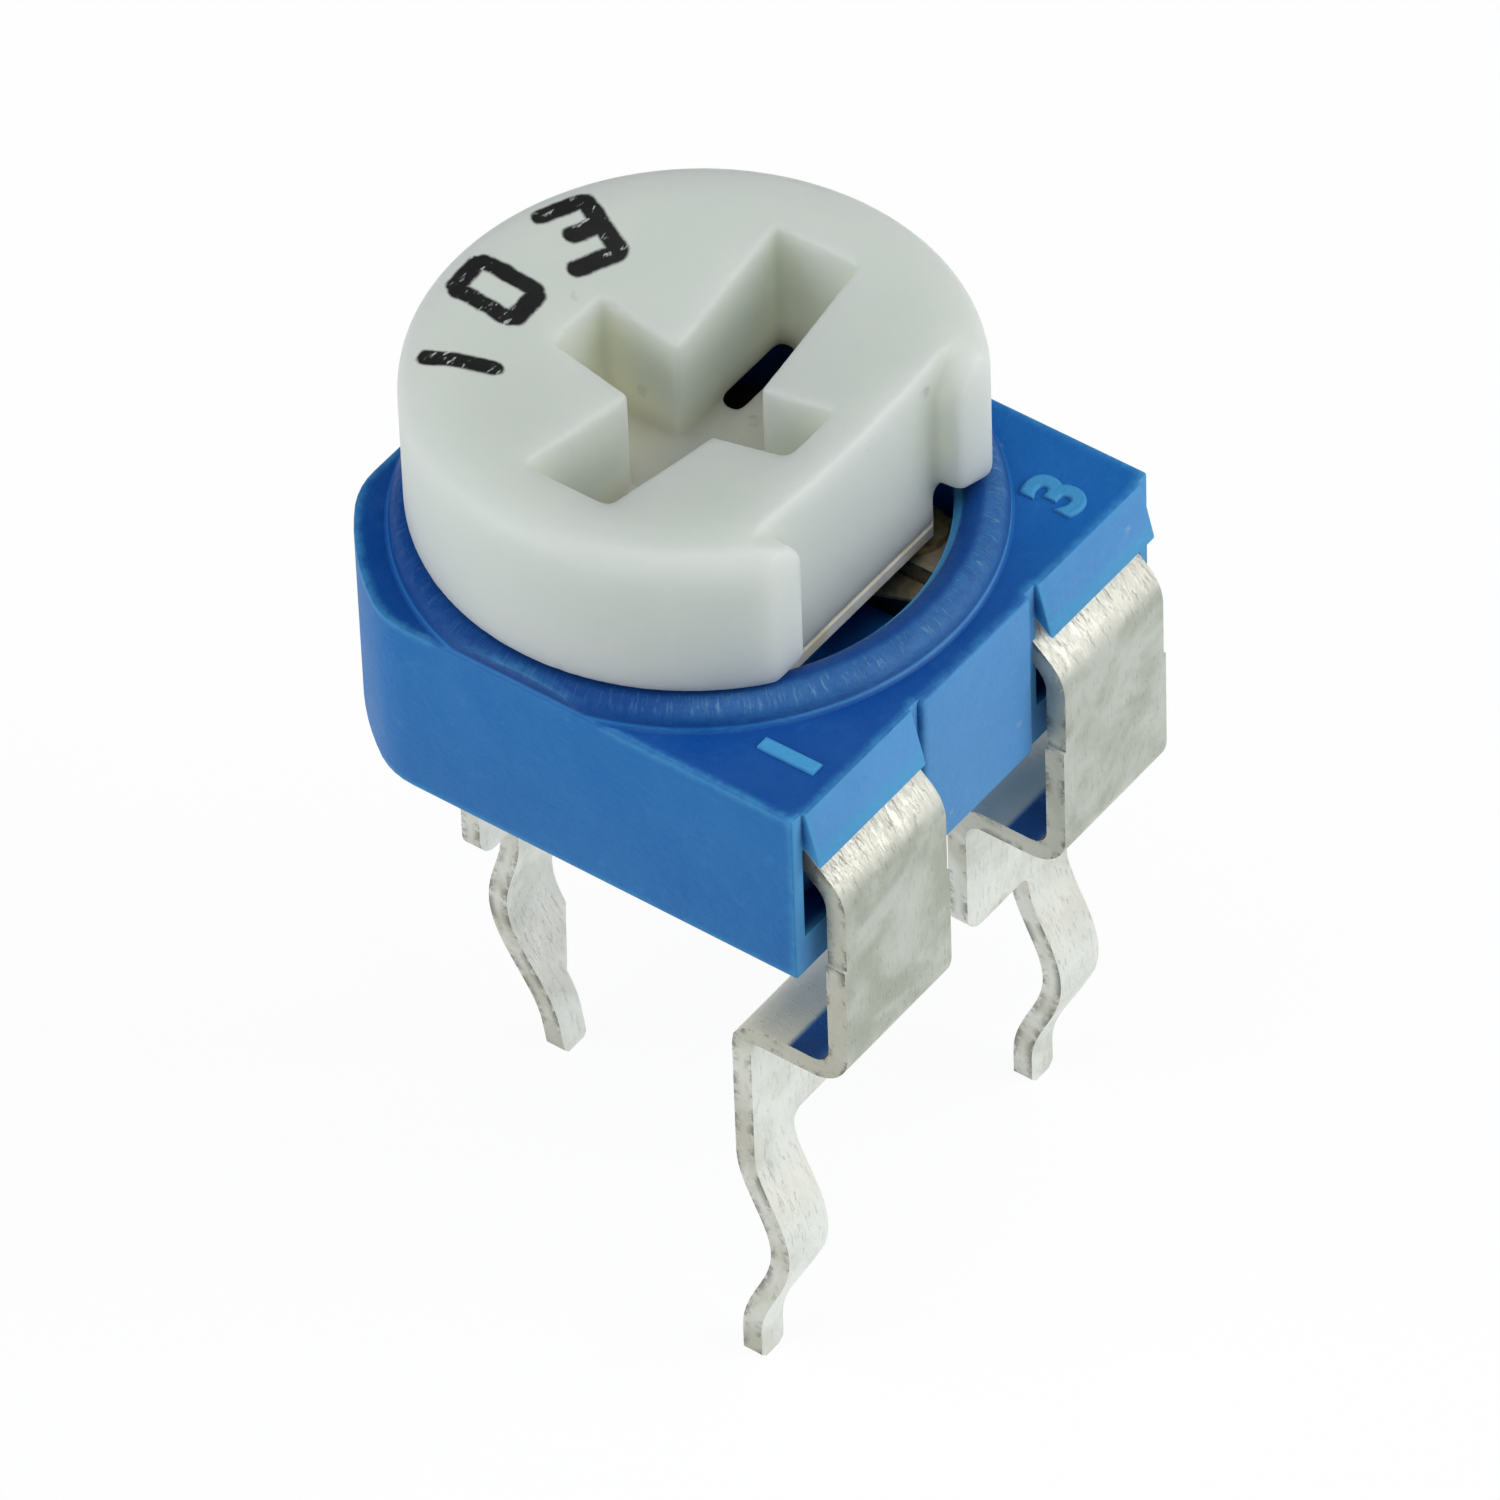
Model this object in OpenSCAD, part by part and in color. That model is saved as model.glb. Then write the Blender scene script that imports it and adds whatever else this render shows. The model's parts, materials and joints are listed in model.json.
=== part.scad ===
// Single-turn trimmer potentiometer, top adjust, three kinked pins.
// Millimetres. Z is the rotor axis, z = 0 is the plane of the three pin tips, -Y is the side of the two end pins.

/* [Board interface] */
// Distance between the two end pins
pin_pitch = 5.08; // [4.9:0.02:5.4]
// Distance from the row of end pins to the wiper pin
row_pitch = 5.08; // [4.9:0.02:5.2]
// Length of each pin below its shoulder
pin_length = 3.3; // [2.8:0.05:5]
// Height of the housing above the shoulders
body_lift = 3.45; // [3:0.05:5]

/* [Housing] */
// Radius of the cavity that holds the resistor board
cavity_r = 2.92; // [2.88:0.01:3.2]
// Thickness of the side walls
side_wall = 0.31; // [0.3:0.01:0.6]
// Thickness of the front wall
front_wall = 0.66; // [0.62:0.01:0.8]
// Thickness of the back wall
back_wall = 0.35; // [0.3:0.01:0.6]
// Thickness of the wall at the two rounded rear corners
corner_wall = 0.78; // [0.7:0.01:1.1]
// Height of the housing without its collar
body_h = 2.35; // [2.3:0.01:2.6]
// Depth of the cavity below the top face
cavity_h = 1.3; // [1.28:0.01:1.4]
// How far the collar's lip reaches in over the cavity
lip_reach = 0.2; // [0.16:0.01:0.24]
// Width of the rounded collar bead
collar_w = 0.48; // [0.4:0.02:0.5]
// Height of the collar bead above the top face
collar_h = 0.3; // [0.2:0.01:0.4]
// Height of the collar's lip from its underside to its crest
collar_lip_h = 0.2; // [0.16:0.01:0.22]
// Radius of the centre post
post_r = 0.5; // [0.4:0.02:0.54]
// Half width of the raised block between the end terminals
block_half_w = 1.02; // [0.8:0.01:1.04]
// How far the raised block stands out of the front wall
block_out = 0.08; // [0.05:0.01:0.2]
// Width of the groove on each side of the block
block_groove = 0.1; // [0.06:0.01:0.2]
// How far the eaves stand out at their top edge
eave_out_top = 0.04; // [0.02:0.01:0.1]
// How far the eaves stand out at their lower edge
eave_out_low = 0.22; // [0.15:0.01:0.25]
// Height of the eaves
eave_h = 0.72; // [0.66:0.01:0.74]
// Thickness of the side walls beside the eaves
cheek_t = 0.16; // [0.1:0.01:0.2]
// Height of the pocket below each eave
pocket_h = 1.1; // [0.8:0.05:1.2]
// Depth of the pocket below each eave
pocket_depth = 0.38; // [0.2:0.01:0.45]
// Depth of the relief in the underside
relief_depth = 0.3; // [0.1:0.01:0.4]
// Width of the rim around the underside relief
relief_rim = 0.55; // [0.4:0.01:0.7]
// Height of the raised pin numbers
mark_h = 0.04; // [0.02:0.01:0.1]
// Distance of each pin number's middle from the side face
mark_inset_x = 0.8; // [0.5:0.01:0.9]
// Distance of each pin number's middle from the front wall
mark_inset_y = 0.52; // [0.45:0.01:0.6]
// Stroke width of the raised pin numbers
mark_stroke = 0.13; // [0.08:0.01:0.16]
// Height of a pin number's figure
mark_size = 0.7; // [0.3:0.02:0.8]

/* [Rotor] */
// Radius of the rotor cap
cap_r = 3.15; // [3.05:0.01:3.2]
// Height of the rotor cap
cap_h = 1.92; // [1.7:0.01:2.2]
// Edge rounding of the cap
cap_round = 0.22; // [0.1:0.01:0.3]
// Radius of the shallow dish in the top
dish_r = 2.75; // [2.5:0.01:2.8]
// Depth of the dish at its centre
dish_depth = 0.7; // [0.3:0.01:0.75]
// Gap between the cap and the crest of the collar
cap_gap = 0.05; // [0.03:0.01:0.1]
// Half width of the long slot
slot_half_w = 0.54; // [0.5:0.01:0.55]
// Half length of the long slot
slot_half_l = 2.22; // [2:0.01:2.3]
// Half width of the short slot
cross_half_w = 0.425; // [0.35:0.005:0.45]
// Half length of the short slot
cross_half_l = 1.54; // [1.2:0.01:1.6]
// Thickness of the web below the slots
slot_web = 0.55; // [0.45:0.01:0.6]
// Distance from the axis to the inner end of the pocket that opens a window in the long slot's floor
window_x = 1.16; // [1.0:0.01:1.2]
// Distance from the slot's middle to the pocket's near side
window_y = 0.33; // [0.28:0.01:0.38]
// Length of the pocket along the slot, which leaves through the neck and the flange
window_l = 1.71; // [1.68:0.01:1.73]
// Width of the pocket, which runs on under the slot's rear wall
window_w = 0.67; // [0.5:0.01:0.7]
// How far the pocket runs up past the slot floor
window_rise = 0.02; // [0.01:0.01:0.1]
// Thickness of the web that closes the post's socket
socket_web = 0.2; // [0.15:0.01:0.25]
// Half width of the front notch
notch_half_w = 1.38; // [1.2:0.01:1.5]
// Distance from the axis to the wall of the front notch
notch_y = 2.1; // [2.05:0.01:2.2]
// Distance from the middle to the side of the recess under each ear
recess_x = 1.41; // [1.4:0.01:1.5]
// Distance from the axis to the back of the recess under each ear
recess_y = 1.8; // [1.7:0.01:1.9]
// Distance from the axis to the flat noses of the two ears
ear_y = 2.47; // [2.4:0.01:2.6]
// Rounding of the ears' top corners
ear_round = 0.7; // [0.3:0.05:0.9]
// Radial clearance of a running fit
run_clear = 0.06; // [0.04:0.01:0.08]
// Radial clearance of the rotor on its post
post_clear = 0.05; // [0.03:0.01:0.08]
// Thickness of the rotor flange below the collar's lip
flange_t = 0.16; // [0.1:0.01:0.2]
// Full travel of the rotor in degrees
travel = 230; // [200:1:240]
// Half angle of the rotor's stop lug
lug_half = 6; // [4:1:8]
// Half angle of each stop rib in the cavity
rib_half = 4; // [3:1:5]
// Radial depth of each stop rib
rib_depth = 0.38; // [0.3:0.01:0.42]

/* [Terminals] */
// Thickness of the terminal sheet
sheet_t = 0.25; // [0.2:0.01:0.3]
// Distance from the centre plane to a plate's inner edge
plate_inner = 1.05; // [1.0:0.01:1.2]
// Distance from the centre plane to a plate's outer edge
plate_outer = 2.95; // [2.92:0.01:3]
// How far the front plates stand clear of the front wall
plate_gap = 0.17; // [0.12:0.01:0.3]
// Width that a plate loses on each side above its step
plate_step = 0.04; // [0.02:0.005:0.08]
// Height of the step below the top of the housing
step_drop = 2.25; // [1.9:0.05:2.4]
// Slope of the arm where it comes out under the eave
arm_slope = 42; // [36:1:48]
// Width of the arm inside the housing
arm_w = 0.8; // [0.76:0.01:0.82]
// Where the arm ends, from the rotor axis
arm_end_y = 1.3; // [1.25:0.01:1.35]
// Height of the shelf's upper face below the housing
shelf_drop = 1.44; // [1:0.02:1.8]
// Centre radius of the bends
bend_r = 0.35; // [0.2:0.01:0.45]
// Centre radius of the bend under the eave
eave_bend_r = 0.5; // [0.35:0.01:0.55]
// Width of an end pin
pin_w = 0.72; // [0.6:0.01:0.8]
// Width of the wiper pin
wiper_pin_w = 0.84; // [0.7:0.01:0.9]
// Width that each pin tapers to at its tip
tip_w = 0.4; // [0.3:0.01:0.5]
// Offset of the retaining kink
kink = 0.42; // [0.2:0.01:0.5]
// Height of the kink's lower end above the tip
kink_foot = 0.4; // [0.3:0.05:0.7]
// Length of the kink along the pin
kink_l = 2.8; // [2:0.05:2.85]
// How far the wiper pin's tip leans towards the front
wiper_lean = 0.55; // [0:0.01:0.6]
// Rounding of the shoulders
shoulder_r = 0.28; // [0.1:0.01:0.3]
// Half width of the wiper terminal's rear plate
rear_half_w = 1.05; // [0.9:0.01:1.2]
// Half width of the wiper terminal's strip
strip_half_w = 0.55; // [0.4:0.01:0.6]
// Radius of the collector flange
collector_r = 1.12; // [1.0:0.01:1.2]
// Thickness of the collector flange
collector_t = 0.14; // [0.1:0.01:0.16]
// Outer radius of the collector tube
tube_r = 0.72; // [0.7:0.01:0.75]

/* [Resistor] */
// Thickness of the resistor board
board_t = 0.5; // [0.45:0.01:0.55]
// Clearance around the board, the terminals and the rivets
fit = 0.04; // [0.02:0.005:0.05]
// Half width of the gap between the board's two legs
board_gap_half_w = 0.95; // [0.8:0.01:1]
// Distance from the rotor axis to the bottom of that gap
board_gap_y = 1.3; // [1.2:0.01:1.5]
// Inner radius of the resistive track
track_in = 1.65; // [1.55:0.01:1.75]
// Outer radius of the resistive track
track_out = 2.25; // [2.15:0.01:2.35]
// Angle from the back to each end of the track
track_half = 132; // [125:1:134]
// Thickness of the track
track_t = 0.03; // [0.02:0.005:0.05]
// Thickness of the end pads
pad_t = 0.04; // [0.03:0.005:0.05]
// Angle covered by each end pad
pad_angle = 27; // [24:1:28]
// Outer radius of the end pads
pad_out = 2.72; // [2.6:0.01:2.75]
// Radius of a rivet's shank
rivet_r = 0.22; // [0.18:0.01:0.24]
// Radius of a rivet's head
rivet_head_r = 0.36; // [0.3:0.01:0.38]
// Thickness of a rivet's head
rivet_head_t = 0.1; // [0.06:0.01:0.12]
// Radius of the hole through a rivet
rivet_bore_r = 0.11; // [0.08:0.01:0.12]
// Distance of the rivets from the front of the arm's inner end
rivet_set = 0.46; // [0.42:0.01:0.5]

/* [Wiper] */
// Thickness of the wiper spring
spring_t = 0.15; // [0.12:0.01:0.18]
// Radius of the wiper spring's outline
spring_r = 2.5; // [2.3:0.01:2.55]
// Depth of the spring's front bar
bar_depth = 0.8; // [0.6:0.01:0.9]
// Half width of the wiper finger
finger_half_w = 0.3; // [0.2:0.01:0.35]
// Radius of the contact dimples
dimple_r = 0.16; // [0.12:0.01:0.18]
// Gap left at the sliding contacts
contact_gap = 0.015; // [0.01:0.005:0.03]
// Radius of the two staked pegs that hold the spring
peg_r = 0.22; // [0.15:0.01:0.25]

/* [Hidden] */
$fn = 96;
eps = 0.02;           // overlap that joins shapes of one piece
bend_steps = 10;      // chords in a sheet bend
kink_steps = 28;      // chords along a kink
sheet_half = sheet_t / 2;

blue = [0.10, 0.38, 0.72];
milk = [0.80, 0.84, 0.82];
tin = [0.76, 0.77, 0.74];
phenolic = [0.45, 0.28, 0.14];

// Levels, from the pin tips upwards
seat_z = pin_length;
body_z = seat_z + body_lift;
top_z = body_z + body_h;
floor_z = top_z - cavity_h;
crest_z = top_z + collar_h;
board_z = floor_z + board_t;
arm_z = board_z + pad_t;
arm_mid_z = arm_z + sheet_half;
cap_z = crest_z + cap_gap;
lip_z = crest_z - collar_lip_h;
flange_z = lip_z - run_clear;
hub_z = flange_z - flange_t;
rotor_top_z = cap_z + cap_h;
web_z = hub_z + slot_web;
socket_z = web_z - socket_web;
spring_z = hub_z - spring_t;
collector_z = board_z + collector_t;
step_z = top_z - step_drop;
shelf_z = body_z - shelf_drop;
eave_z = top_z - eave_h;

// Plan places
half_w = cavity_r + side_wall;
body_front = cavity_r + front_wall;
body_back = cavity_r + back_wall;
corner_r = cavity_r + corner_wall;
collar_bore_r = cavity_r - lip_reach;
collar_r = collar_bore_r + collar_w / 2;
pin_x = pin_pitch / 2;
pin_y = row_pitch / 2;
plate_y = body_front + plate_gap + sheet_half;
cheek_x = half_w - cheek_t;
eave_x = block_half_w + block_groove;
arm_x = plate_inner + plate_step;
arm_neck_y = body_front - pocket_depth + fit;
rivet_x = arm_x + arm_w / 2;
rivet_y = arm_end_y + rivet_set;
neck_r = collar_bore_r - run_clear;
flange_r = cavity_r - run_clear - fit;
board_r = cavity_r - fit;
peg_x = notch_half_w - peg_r;
peg_y = notch_y - bar_depth / 2;
rib_angle = travel / 2 + lug_half + rib_half + 1;
rib_r = cavity_r - rib_depth;
rib_top_z = hub_z - run_clear;
lug_in_r = rib_r + run_clear;
lug_drop = 0.25;
finger_r = (track_in + track_out) / 2;

// ---- Helpers -------------------------------------------------------------------------------------------------

function unit(v) = v / norm(v);
function cross2(a, b) = a[0] * b[1] - a[1] * b[0];

// Points of the round that replaces corner b of the path a-b-c, at centre radius r
function bend(a, b, c, r) =
    let (u = unit(a - b), v = unit(c - b),
         inner = acos(u * v),
         setback = r / tan(inner / 2),
         from = b + u * setback,
         side = sign(cross2(-u, v)),
         centre = from + r * side * [u[1], -u[0]],
         start = from - centre,
         sweep = side * (180 - inner))
    [for (i = [0 : bend_steps])
        let (t = sweep * i / bend_steps)
        centre + [start[0] * cos(t) - start[1] * sin(t), start[0] * sin(t) + start[1] * cos(t)]];

// Sideways offset of a pin's centre line at height z: a raised cosine between the kink's two ends
function kink_at(z) =
    let (t = (z - kink_foot) / kink_l)
    (t <= 0 || t >= 1) ? 0 : kink * (1 - cos(360 * t)) / 2;

// Outline of a bent sheet from its centre line
function sheet_side(path, offset) =
    [for (i = [0 : len(path) - 1])
        let (before = path[max(i - 1, 0)], after = path[min(i + 1, len(path) - 1)],
             along = unit(after - before))
        path[i] + offset * [-along[1], along[0]]];

// Sheet that follows a centre line given as [y, z] and spans x from x0 to x1
module bent_sheet(path, x0, x1) {
    back = sheet_side(path, -sheet_half);
    outline = concat(sheet_side(path, sheet_half), [for (i = [len(back) - 1 : -1 : 0]) back[i]]);
    translate([x1, 0, 0]) rotate([90, 0, -90]) mirror([1, 0, 0])
        linear_extrude(x1 - x0) polygon(outline);
}

// Cutting shape: an outline in X and Z, as seen from the front, carried through the whole depth
module front_outline() {
    depth = 4 * body_front;
    translate([0, depth / 2, 0]) rotate([90, 0, 0]) linear_extrude(depth) children();
}

module disc(r, z0, z1) { translate([0, 0, z0]) cylinder(r = r, h = z1 - z0); }

module block(x0, x1, y0, y1, z0, z1) { translate([x0, y0, z0]) cube([x1 - x0, y1 - y0, z1 - z0]); }

// Part of a ring, centred on the direction at angle mid
module sector(r_in, r_out, mid, half, z0, z1) {
    reach = 2 * r_out;
    translate([0, 0, z0]) linear_extrude(z1 - z0) intersection() {
        difference() {
            circle(r = r_out);
            circle(r = r_in);
        }
        rotate(mid) polygon(concat([[0, 0]],
            [for (i = [-4 : 4]) reach * [cos(half * i / 4), sin(half * i / 4)]]));
    }
}

// Places a shape at both rivets' sides: side is -1 for the left terminal and 1 for the right one
module at_rivet(side) { translate([side * rivet_x, -rivet_y, 0]) children(); }

// ---- Housing -------------------------------------------------------------------------------------------------

module body_block(grow, z0, z1) {
    w = half_w + grow;
    block(-w, w, -body_front - grow, 0, z0, z1);
    intersection() {
        block(-w, w, -1, body_back + grow, z0, z1);
        disc(corner_r + grow, z0 - 1, z1 + 1);
    }
}

module collar() {
    bead_r = collar_w / 2;
    rotate_extrude() {
        translate([collar_r, crest_z - bead_r]) circle(r = bead_r, $fn = 48);
        translate([collar_bore_r, top_z - eps]) square([collar_w, collar_h - bead_r + eps]);
    }
}

// Wedge over a terminal, spanning x from eave_x to the cheek
module eave() {
    front = -body_front;
    translate([cheek_x, 0, 0]) rotate([90, 0, -90]) mirror([1, 0, 0]) linear_extrude(cheek_x - eave_x)
        polygon([[front + eps, top_z], [front - eave_out_top, top_z], [front - eave_out_low, eave_z],
                 [front + eps, eave_z]]);
}

module front_block() {
    edge_r = block_out;
    out = body_front + block_out;
    block(-block_half_w, block_half_w, -body_front - block_out + edge_r, -body_front + eps, body_z, top_z);
    block(edge_r - block_half_w, block_half_w - edge_r, -out, -body_front + eps, body_z, top_z);
    for (side = [-1, 1])
        translate([side * (block_half_w - edge_r), edge_r - out, body_z])
            cylinder(r = edge_r, h = body_h, $fn = 32);
}

// Pocket behind a front plate and the way through the wall for its arm
module arm_way() {
    block(eave_x, cheek_x, -body_front - 1, pocket_depth - body_front, eave_z - pocket_h, eave_z);
    roof_z = arm_z + sheet_t + 2 * fit;
    translate([cheek_x, 0, 0]) rotate([90, 0, -90]) mirror([1, 0, 0]) linear_extrude(cheek_x - eave_x)
        polygon([[pocket_depth - body_front, eave_z - eps], [pocket_depth - body_front, roof_z],
                 [-body_front + eave_out_top, roof_z], [-body_front - eave_out_low / 2, eave_z - eps]]);
    block(arm_x - fit, arm_x + arm_w + fit, pocket_depth - body_front - eps, -cavity_r / 2,
          arm_z - fit, roof_z);
}

module figure_one() {
    translate([-mark_stroke / 2, -mark_size / 2]) square([mark_stroke, mark_size]);
    translate([-mark_stroke * 1.5, mark_size / 2 - mark_stroke * 1.9]) rotate(40)
        square([mark_stroke * 1.9, mark_stroke * 0.8]);
}

module figure_three() {
    w = mark_size * 0.55;
    for (level = [-0.5, 0, 0.5])
        translate([-w / 2, level * (mark_size - mark_stroke) - mark_stroke / 2])
            square([w, mark_stroke]);
    translate([w / 2 - mark_stroke, -mark_size / 2]) square([mark_stroke, mark_size]);
}

module pin_numbers() {
    x = half_w - mark_inset_x;
    y = -body_front + mark_inset_y;
    translate([-x, y, top_z - eps]) linear_extrude(mark_h + eps) figure_one();
    translate([x, y, top_z - eps]) linear_extrude(mark_h + eps) figure_three();
}

// Channel for the wiper terminal: centre bed, strip bed and the slot for the rear plate
module wiper_way() {
    bed_z = floor_z - sheet_t;
    disc(collector_r + fit, bed_z, floor_z + eps);
    block(-strip_half_w - fit, strip_half_w + fit, 0, pin_y, bed_z, floor_z + eps);
    block(-strip_half_w - fit, strip_half_w + fit, pin_y - bend_r - sheet_half, pin_y + sheet_half + fit,
          body_z - eps, floor_z + eps);
    block(-rear_half_w - fit, rear_half_w + fit, pin_y - sheet_half - fit, pin_y + sheet_half + fit,
          body_z - eps, floor_z - bend_r);
}

module housing() {
    color(blue) {
        difference() {
            union() {
                body_block(0, body_z, top_z);
                collar();
                for (side = [0, 1]) mirror([side, 0, 0]) eave();
                front_block();
                pin_numbers();
            }
            disc(cavity_r, floor_z, lip_z);
            disc(collar_bore_r, lip_z - eps, crest_z + 1);
            wiper_way();
            for (side = [-1, 1]) at_rivet(side) disc(rivet_head_r + fit, floor_z - rivet_head_t - fit, floor_z + eps);
            for (side = [0, 1]) mirror([side, 0, 0]) arm_way();
            body_block(-relief_rim, body_z - 1, body_z + relief_depth);
        }
        disc(post_r, floor_z - sheet_t - eps, socket_z - fit);
        for (side = [-1, 1])
            sector(rib_r, cavity_r + eps, 90 + side * rib_angle, rib_half, floor_z - eps, rib_top_z);
    }
}

// ---- Rotor ---------------------------------------------------------------------------------------------------

module cap() {
    rotate_extrude() {
        translate([0, cap_z]) square([cap_r, cap_h - cap_round]);
        translate([0, cap_z]) square([cap_r - cap_round, cap_h]);
        translate([cap_r - cap_round, rotor_top_z - cap_round]) circle(r = cap_round, $fn = 48);
    }
}

module dish() {
    over = 0.1;
    grown = dish_r * (dish_depth + over) / dish_depth;
    translate([0, 0, rotor_top_z - dish_depth]) cylinder(r1 = 0, r2 = grown, h = dish_depth + over);
}

// The front notch: a flat across the ears and a wide notch between them with rolled top corners
module notch() {
    reach = cap_r + 1;
    below = spring_z - 1;
    above = rotor_top_z + 1;
    block(-reach, reach, -reach, -ear_y, below, above);
    block(-notch_half_w, notch_half_w, -reach, -notch_y, below, above);
    block(-reach, reach, -reach, -notch_y, below, cap_z);
    block(-reach, -recess_x, -reach, -recess_y, below, cap_z);
    block(recess_x, reach, -reach, -recess_y, below, cap_z);
    difference() {
        block(-notch_half_w - ear_round, notch_half_w + ear_round, -reach, -notch_y,
              rotor_top_z - ear_round, above);
        for (side = [-1, 1])
            translate([side * (notch_half_w + ear_round), 0, rotor_top_z - ear_round]) rotate([90, 0, 0])
                cylinder(r = ear_round, h = reach + 1);
    }
}

module driver_slots() {
    above = rotor_top_z + 1;
    block(-slot_half_l, slot_half_l, -slot_half_w, slot_half_w, web_z, above);
    block(-cross_half_w, cross_half_w, -cross_half_l, cross_half_l, web_z, above);
    block(window_x, window_x + window_l, window_y, window_y + window_w, hub_z - 1, web_z + window_rise);
}

module rotor() {
    color(milk) {
        difference() {
            union() {
                cap();
                disc(neck_r, hub_z, cap_z + eps);
                disc(flange_r, hub_z, flange_z);
                sector(lug_in_r, flange_r, 90, lug_half, hub_z - lug_drop, hub_z + eps);
            }
            dish();
            notch();
            driver_slots();
            disc(post_r + post_clear, hub_z - 1, socket_z);
        }
        for (side = [-1, 1]) translate([side * peg_x, -peg_y, 0])
            disc(peg_r, spring_z - fit, hub_z + eps);
    }
}

// ---- Wiper ---------------------------------------------------------------------------------------------------

// Pressed dimple that ends in a small flat just above the face it slides on
module contact_dimple(foot_z) {
    translate([0, 0, foot_z]) cylinder(r1 = dimple_r / 2, r2 = dimple_r, h = spring_z + eps - foot_z);
}

module wiper_spring() {
    bore = post_r + 2 * post_clear + fit;
    ring_r = collector_r + fit;
    arm_half = (collector_r - bore) / 2;
    color("wheat") difference() {
        union() {
            intersection() {
                disc(spring_r, spring_z, hub_z);
                union() {
                    block(-spring_r, spring_r, -notch_y, bar_depth - notch_y, spring_z, hub_z);
                    disc(ring_r, spring_z, hub_z);
                    for (side = [-1, 1]) translate([side * (collector_r - arm_half), 0, 0])
                        block(-arm_half, arm_half, -notch_y, -ring_r / 2, spring_z, hub_z);
                    block(-finger_half_w, finger_half_w, 0, finger_r + 2 * dimple_r, spring_z, hub_z);
                }
            }
            translate([0, finger_r, 0]) contact_dimple(board_z + track_t + contact_gap);
            for (turn = [30, 150, 270]) rotate(turn) translate([(collector_r + tube_r) / 2, 0, 0])
                contact_dimple(collector_z + contact_gap);
        }
        disc(bore, spring_z - 1, hub_z + 1);
        for (side = [-1, 1]) translate([side * peg_x, -peg_y, 0]) disc(peg_r, spring_z - 1, hub_z + 1);
    }
}

// ---- Resistor ------------------------------------------------------------------------------------------------

module resistor_board() {
    color(phenolic) difference() {
        disc(board_r, floor_z, board_z);
        disc(tube_r + fit, floor_z - 1, board_z + 1);
        block(-board_gap_half_w, board_gap_half_w, -2 * board_r, -board_gap_y, floor_z - 1, board_z + 1);
        for (side = [-1, 1]) {
            at_rivet(side) disc(rivet_r, floor_z - 1, board_z + 1);
            sector(rib_r - fit, cavity_r + 1, 90 + side * rib_angle, rib_half + 1, floor_z - 1, board_z + 1);
        }
    }
}

module carbon_track() {
    color("black") sector(track_in, track_out, 90, track_half, board_z, board_z + track_t);
}

module silver_pad(side) {
    color("silver") difference() {
        intersection() {
            sector(track_in, pad_out, 90 + side * (track_half + pad_angle / 2), pad_angle / 2,
                   board_z, board_z + pad_t);
            disc(board_r - fit, board_z - 1, board_z + 1);
        }
        at_rivet(-side) disc(rivet_r, board_z - 1, board_z + 1);
    }
}

module left_silver_pad() { silver_pad(1); }

module right_silver_pad() { silver_pad(-1); }

module rivet(side) {
    head_z = arm_z + sheet_t;
    color("gold") at_rivet(side) difference() {
        union() {
            disc(rivet_r, floor_z - eps, head_z + eps);
            disc(rivet_head_r, head_z, head_z + rivet_head_t);
            disc(rivet_head_r, floor_z - rivet_head_t, floor_z);
        }
        disc(rivet_bore_r, floor_z - 1, head_z + 1);
    }
}

module left_rivet() { rivet(-1); }

module right_rivet() { rivet(1); }

// ---- Terminals -----------------------------------------------------------------------------------------------

// Pin outline seen from the front, centred on x: straight on its left edge, tapered to its tip on the right
module pin_outline(w) {
    nick = tip_w / 5;
    left = -w / 2;
    polygon([[left, seat_z + shoulder_r], [left, nick], [left + nick, 0], [left + tip_w - nick, 0],
             [left + tip_w, nick], [left + tip_w, pin_length * 0.27], [-left, pin_length * 0.43],
             [-left, seat_z + shoulder_r]]);
}

// Shoulder with a rounded free corner on its left and a small root fillet against the pin on its right
module shoulder(x_free, x_pin, z_top) {
    r = shoulder_r;
    difference() {
        union() {
            translate([x_free + r, seat_z + r]) circle(r = r);
            translate([x_free, seat_z + r]) square([x_pin - x_free, z_top - seat_z - r]);
            translate([x_free + r, seat_z - r / 2]) square([x_pin - x_free - r, r * 2]);
        }
        translate([x_pin - r / 2, seat_z - r / 2]) circle(r = r / 2);
        translate([x_free - r, seat_z - r]) square([x_pin - x_free + r / 2, r]);
    }
}

module end_terminal_outline() {
    pin_inner = pin_x - pin_w / 2;
    pin_outer = pin_x + pin_w / 2;
    shoulder(plate_inner, pin_inner, shelf_z);
    translate([pin_inner, seat_z]) square([pin_w, shelf_z - seat_z]);
    polygon([[plate_inner, seat_z + 2 * shoulder_r], [pin_outer, seat_z + 2 * shoulder_r],
             [pin_outer, shelf_z - bend_r], [plate_outer, shelf_z - sheet_t], [plate_outer, step_z],
             [plate_outer - plate_step, step_z], [plate_outer - plate_step, top_z],
             [arm_x, top_z], [arm_x, step_z], [plate_inner, step_z]]);
}

// Centre line of an end terminal: arm, slope under the eave, plate, shelf and kinked pin
function end_path() =
    let (slope_y = body_front - pocket_depth,
         run = plate_y - slope_y,
         a = [-arm_end_y, arm_mid_z],
         b = [-slope_y, arm_mid_z],
         c = [-plate_y, arm_mid_z - run * tan(arm_slope)],
         d = [-plate_y, shelf_z - sheet_half],
         e = [-pin_y, shelf_z - sheet_half],
         f = [-pin_y, kink_foot + kink_l])
    concat([a], bend(a, b, c, bend_r), bend(b, c, d, eave_bend_r), bend(c, d, e, bend_r), bend(d, e, f, bend_r),
           [for (i = [kink_steps : -1 : 0]) let (z = kink_foot + kink_l * i / kink_steps) [-pin_y - kink_at(z), z]],
           [[-pin_y, 0]]);

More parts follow.
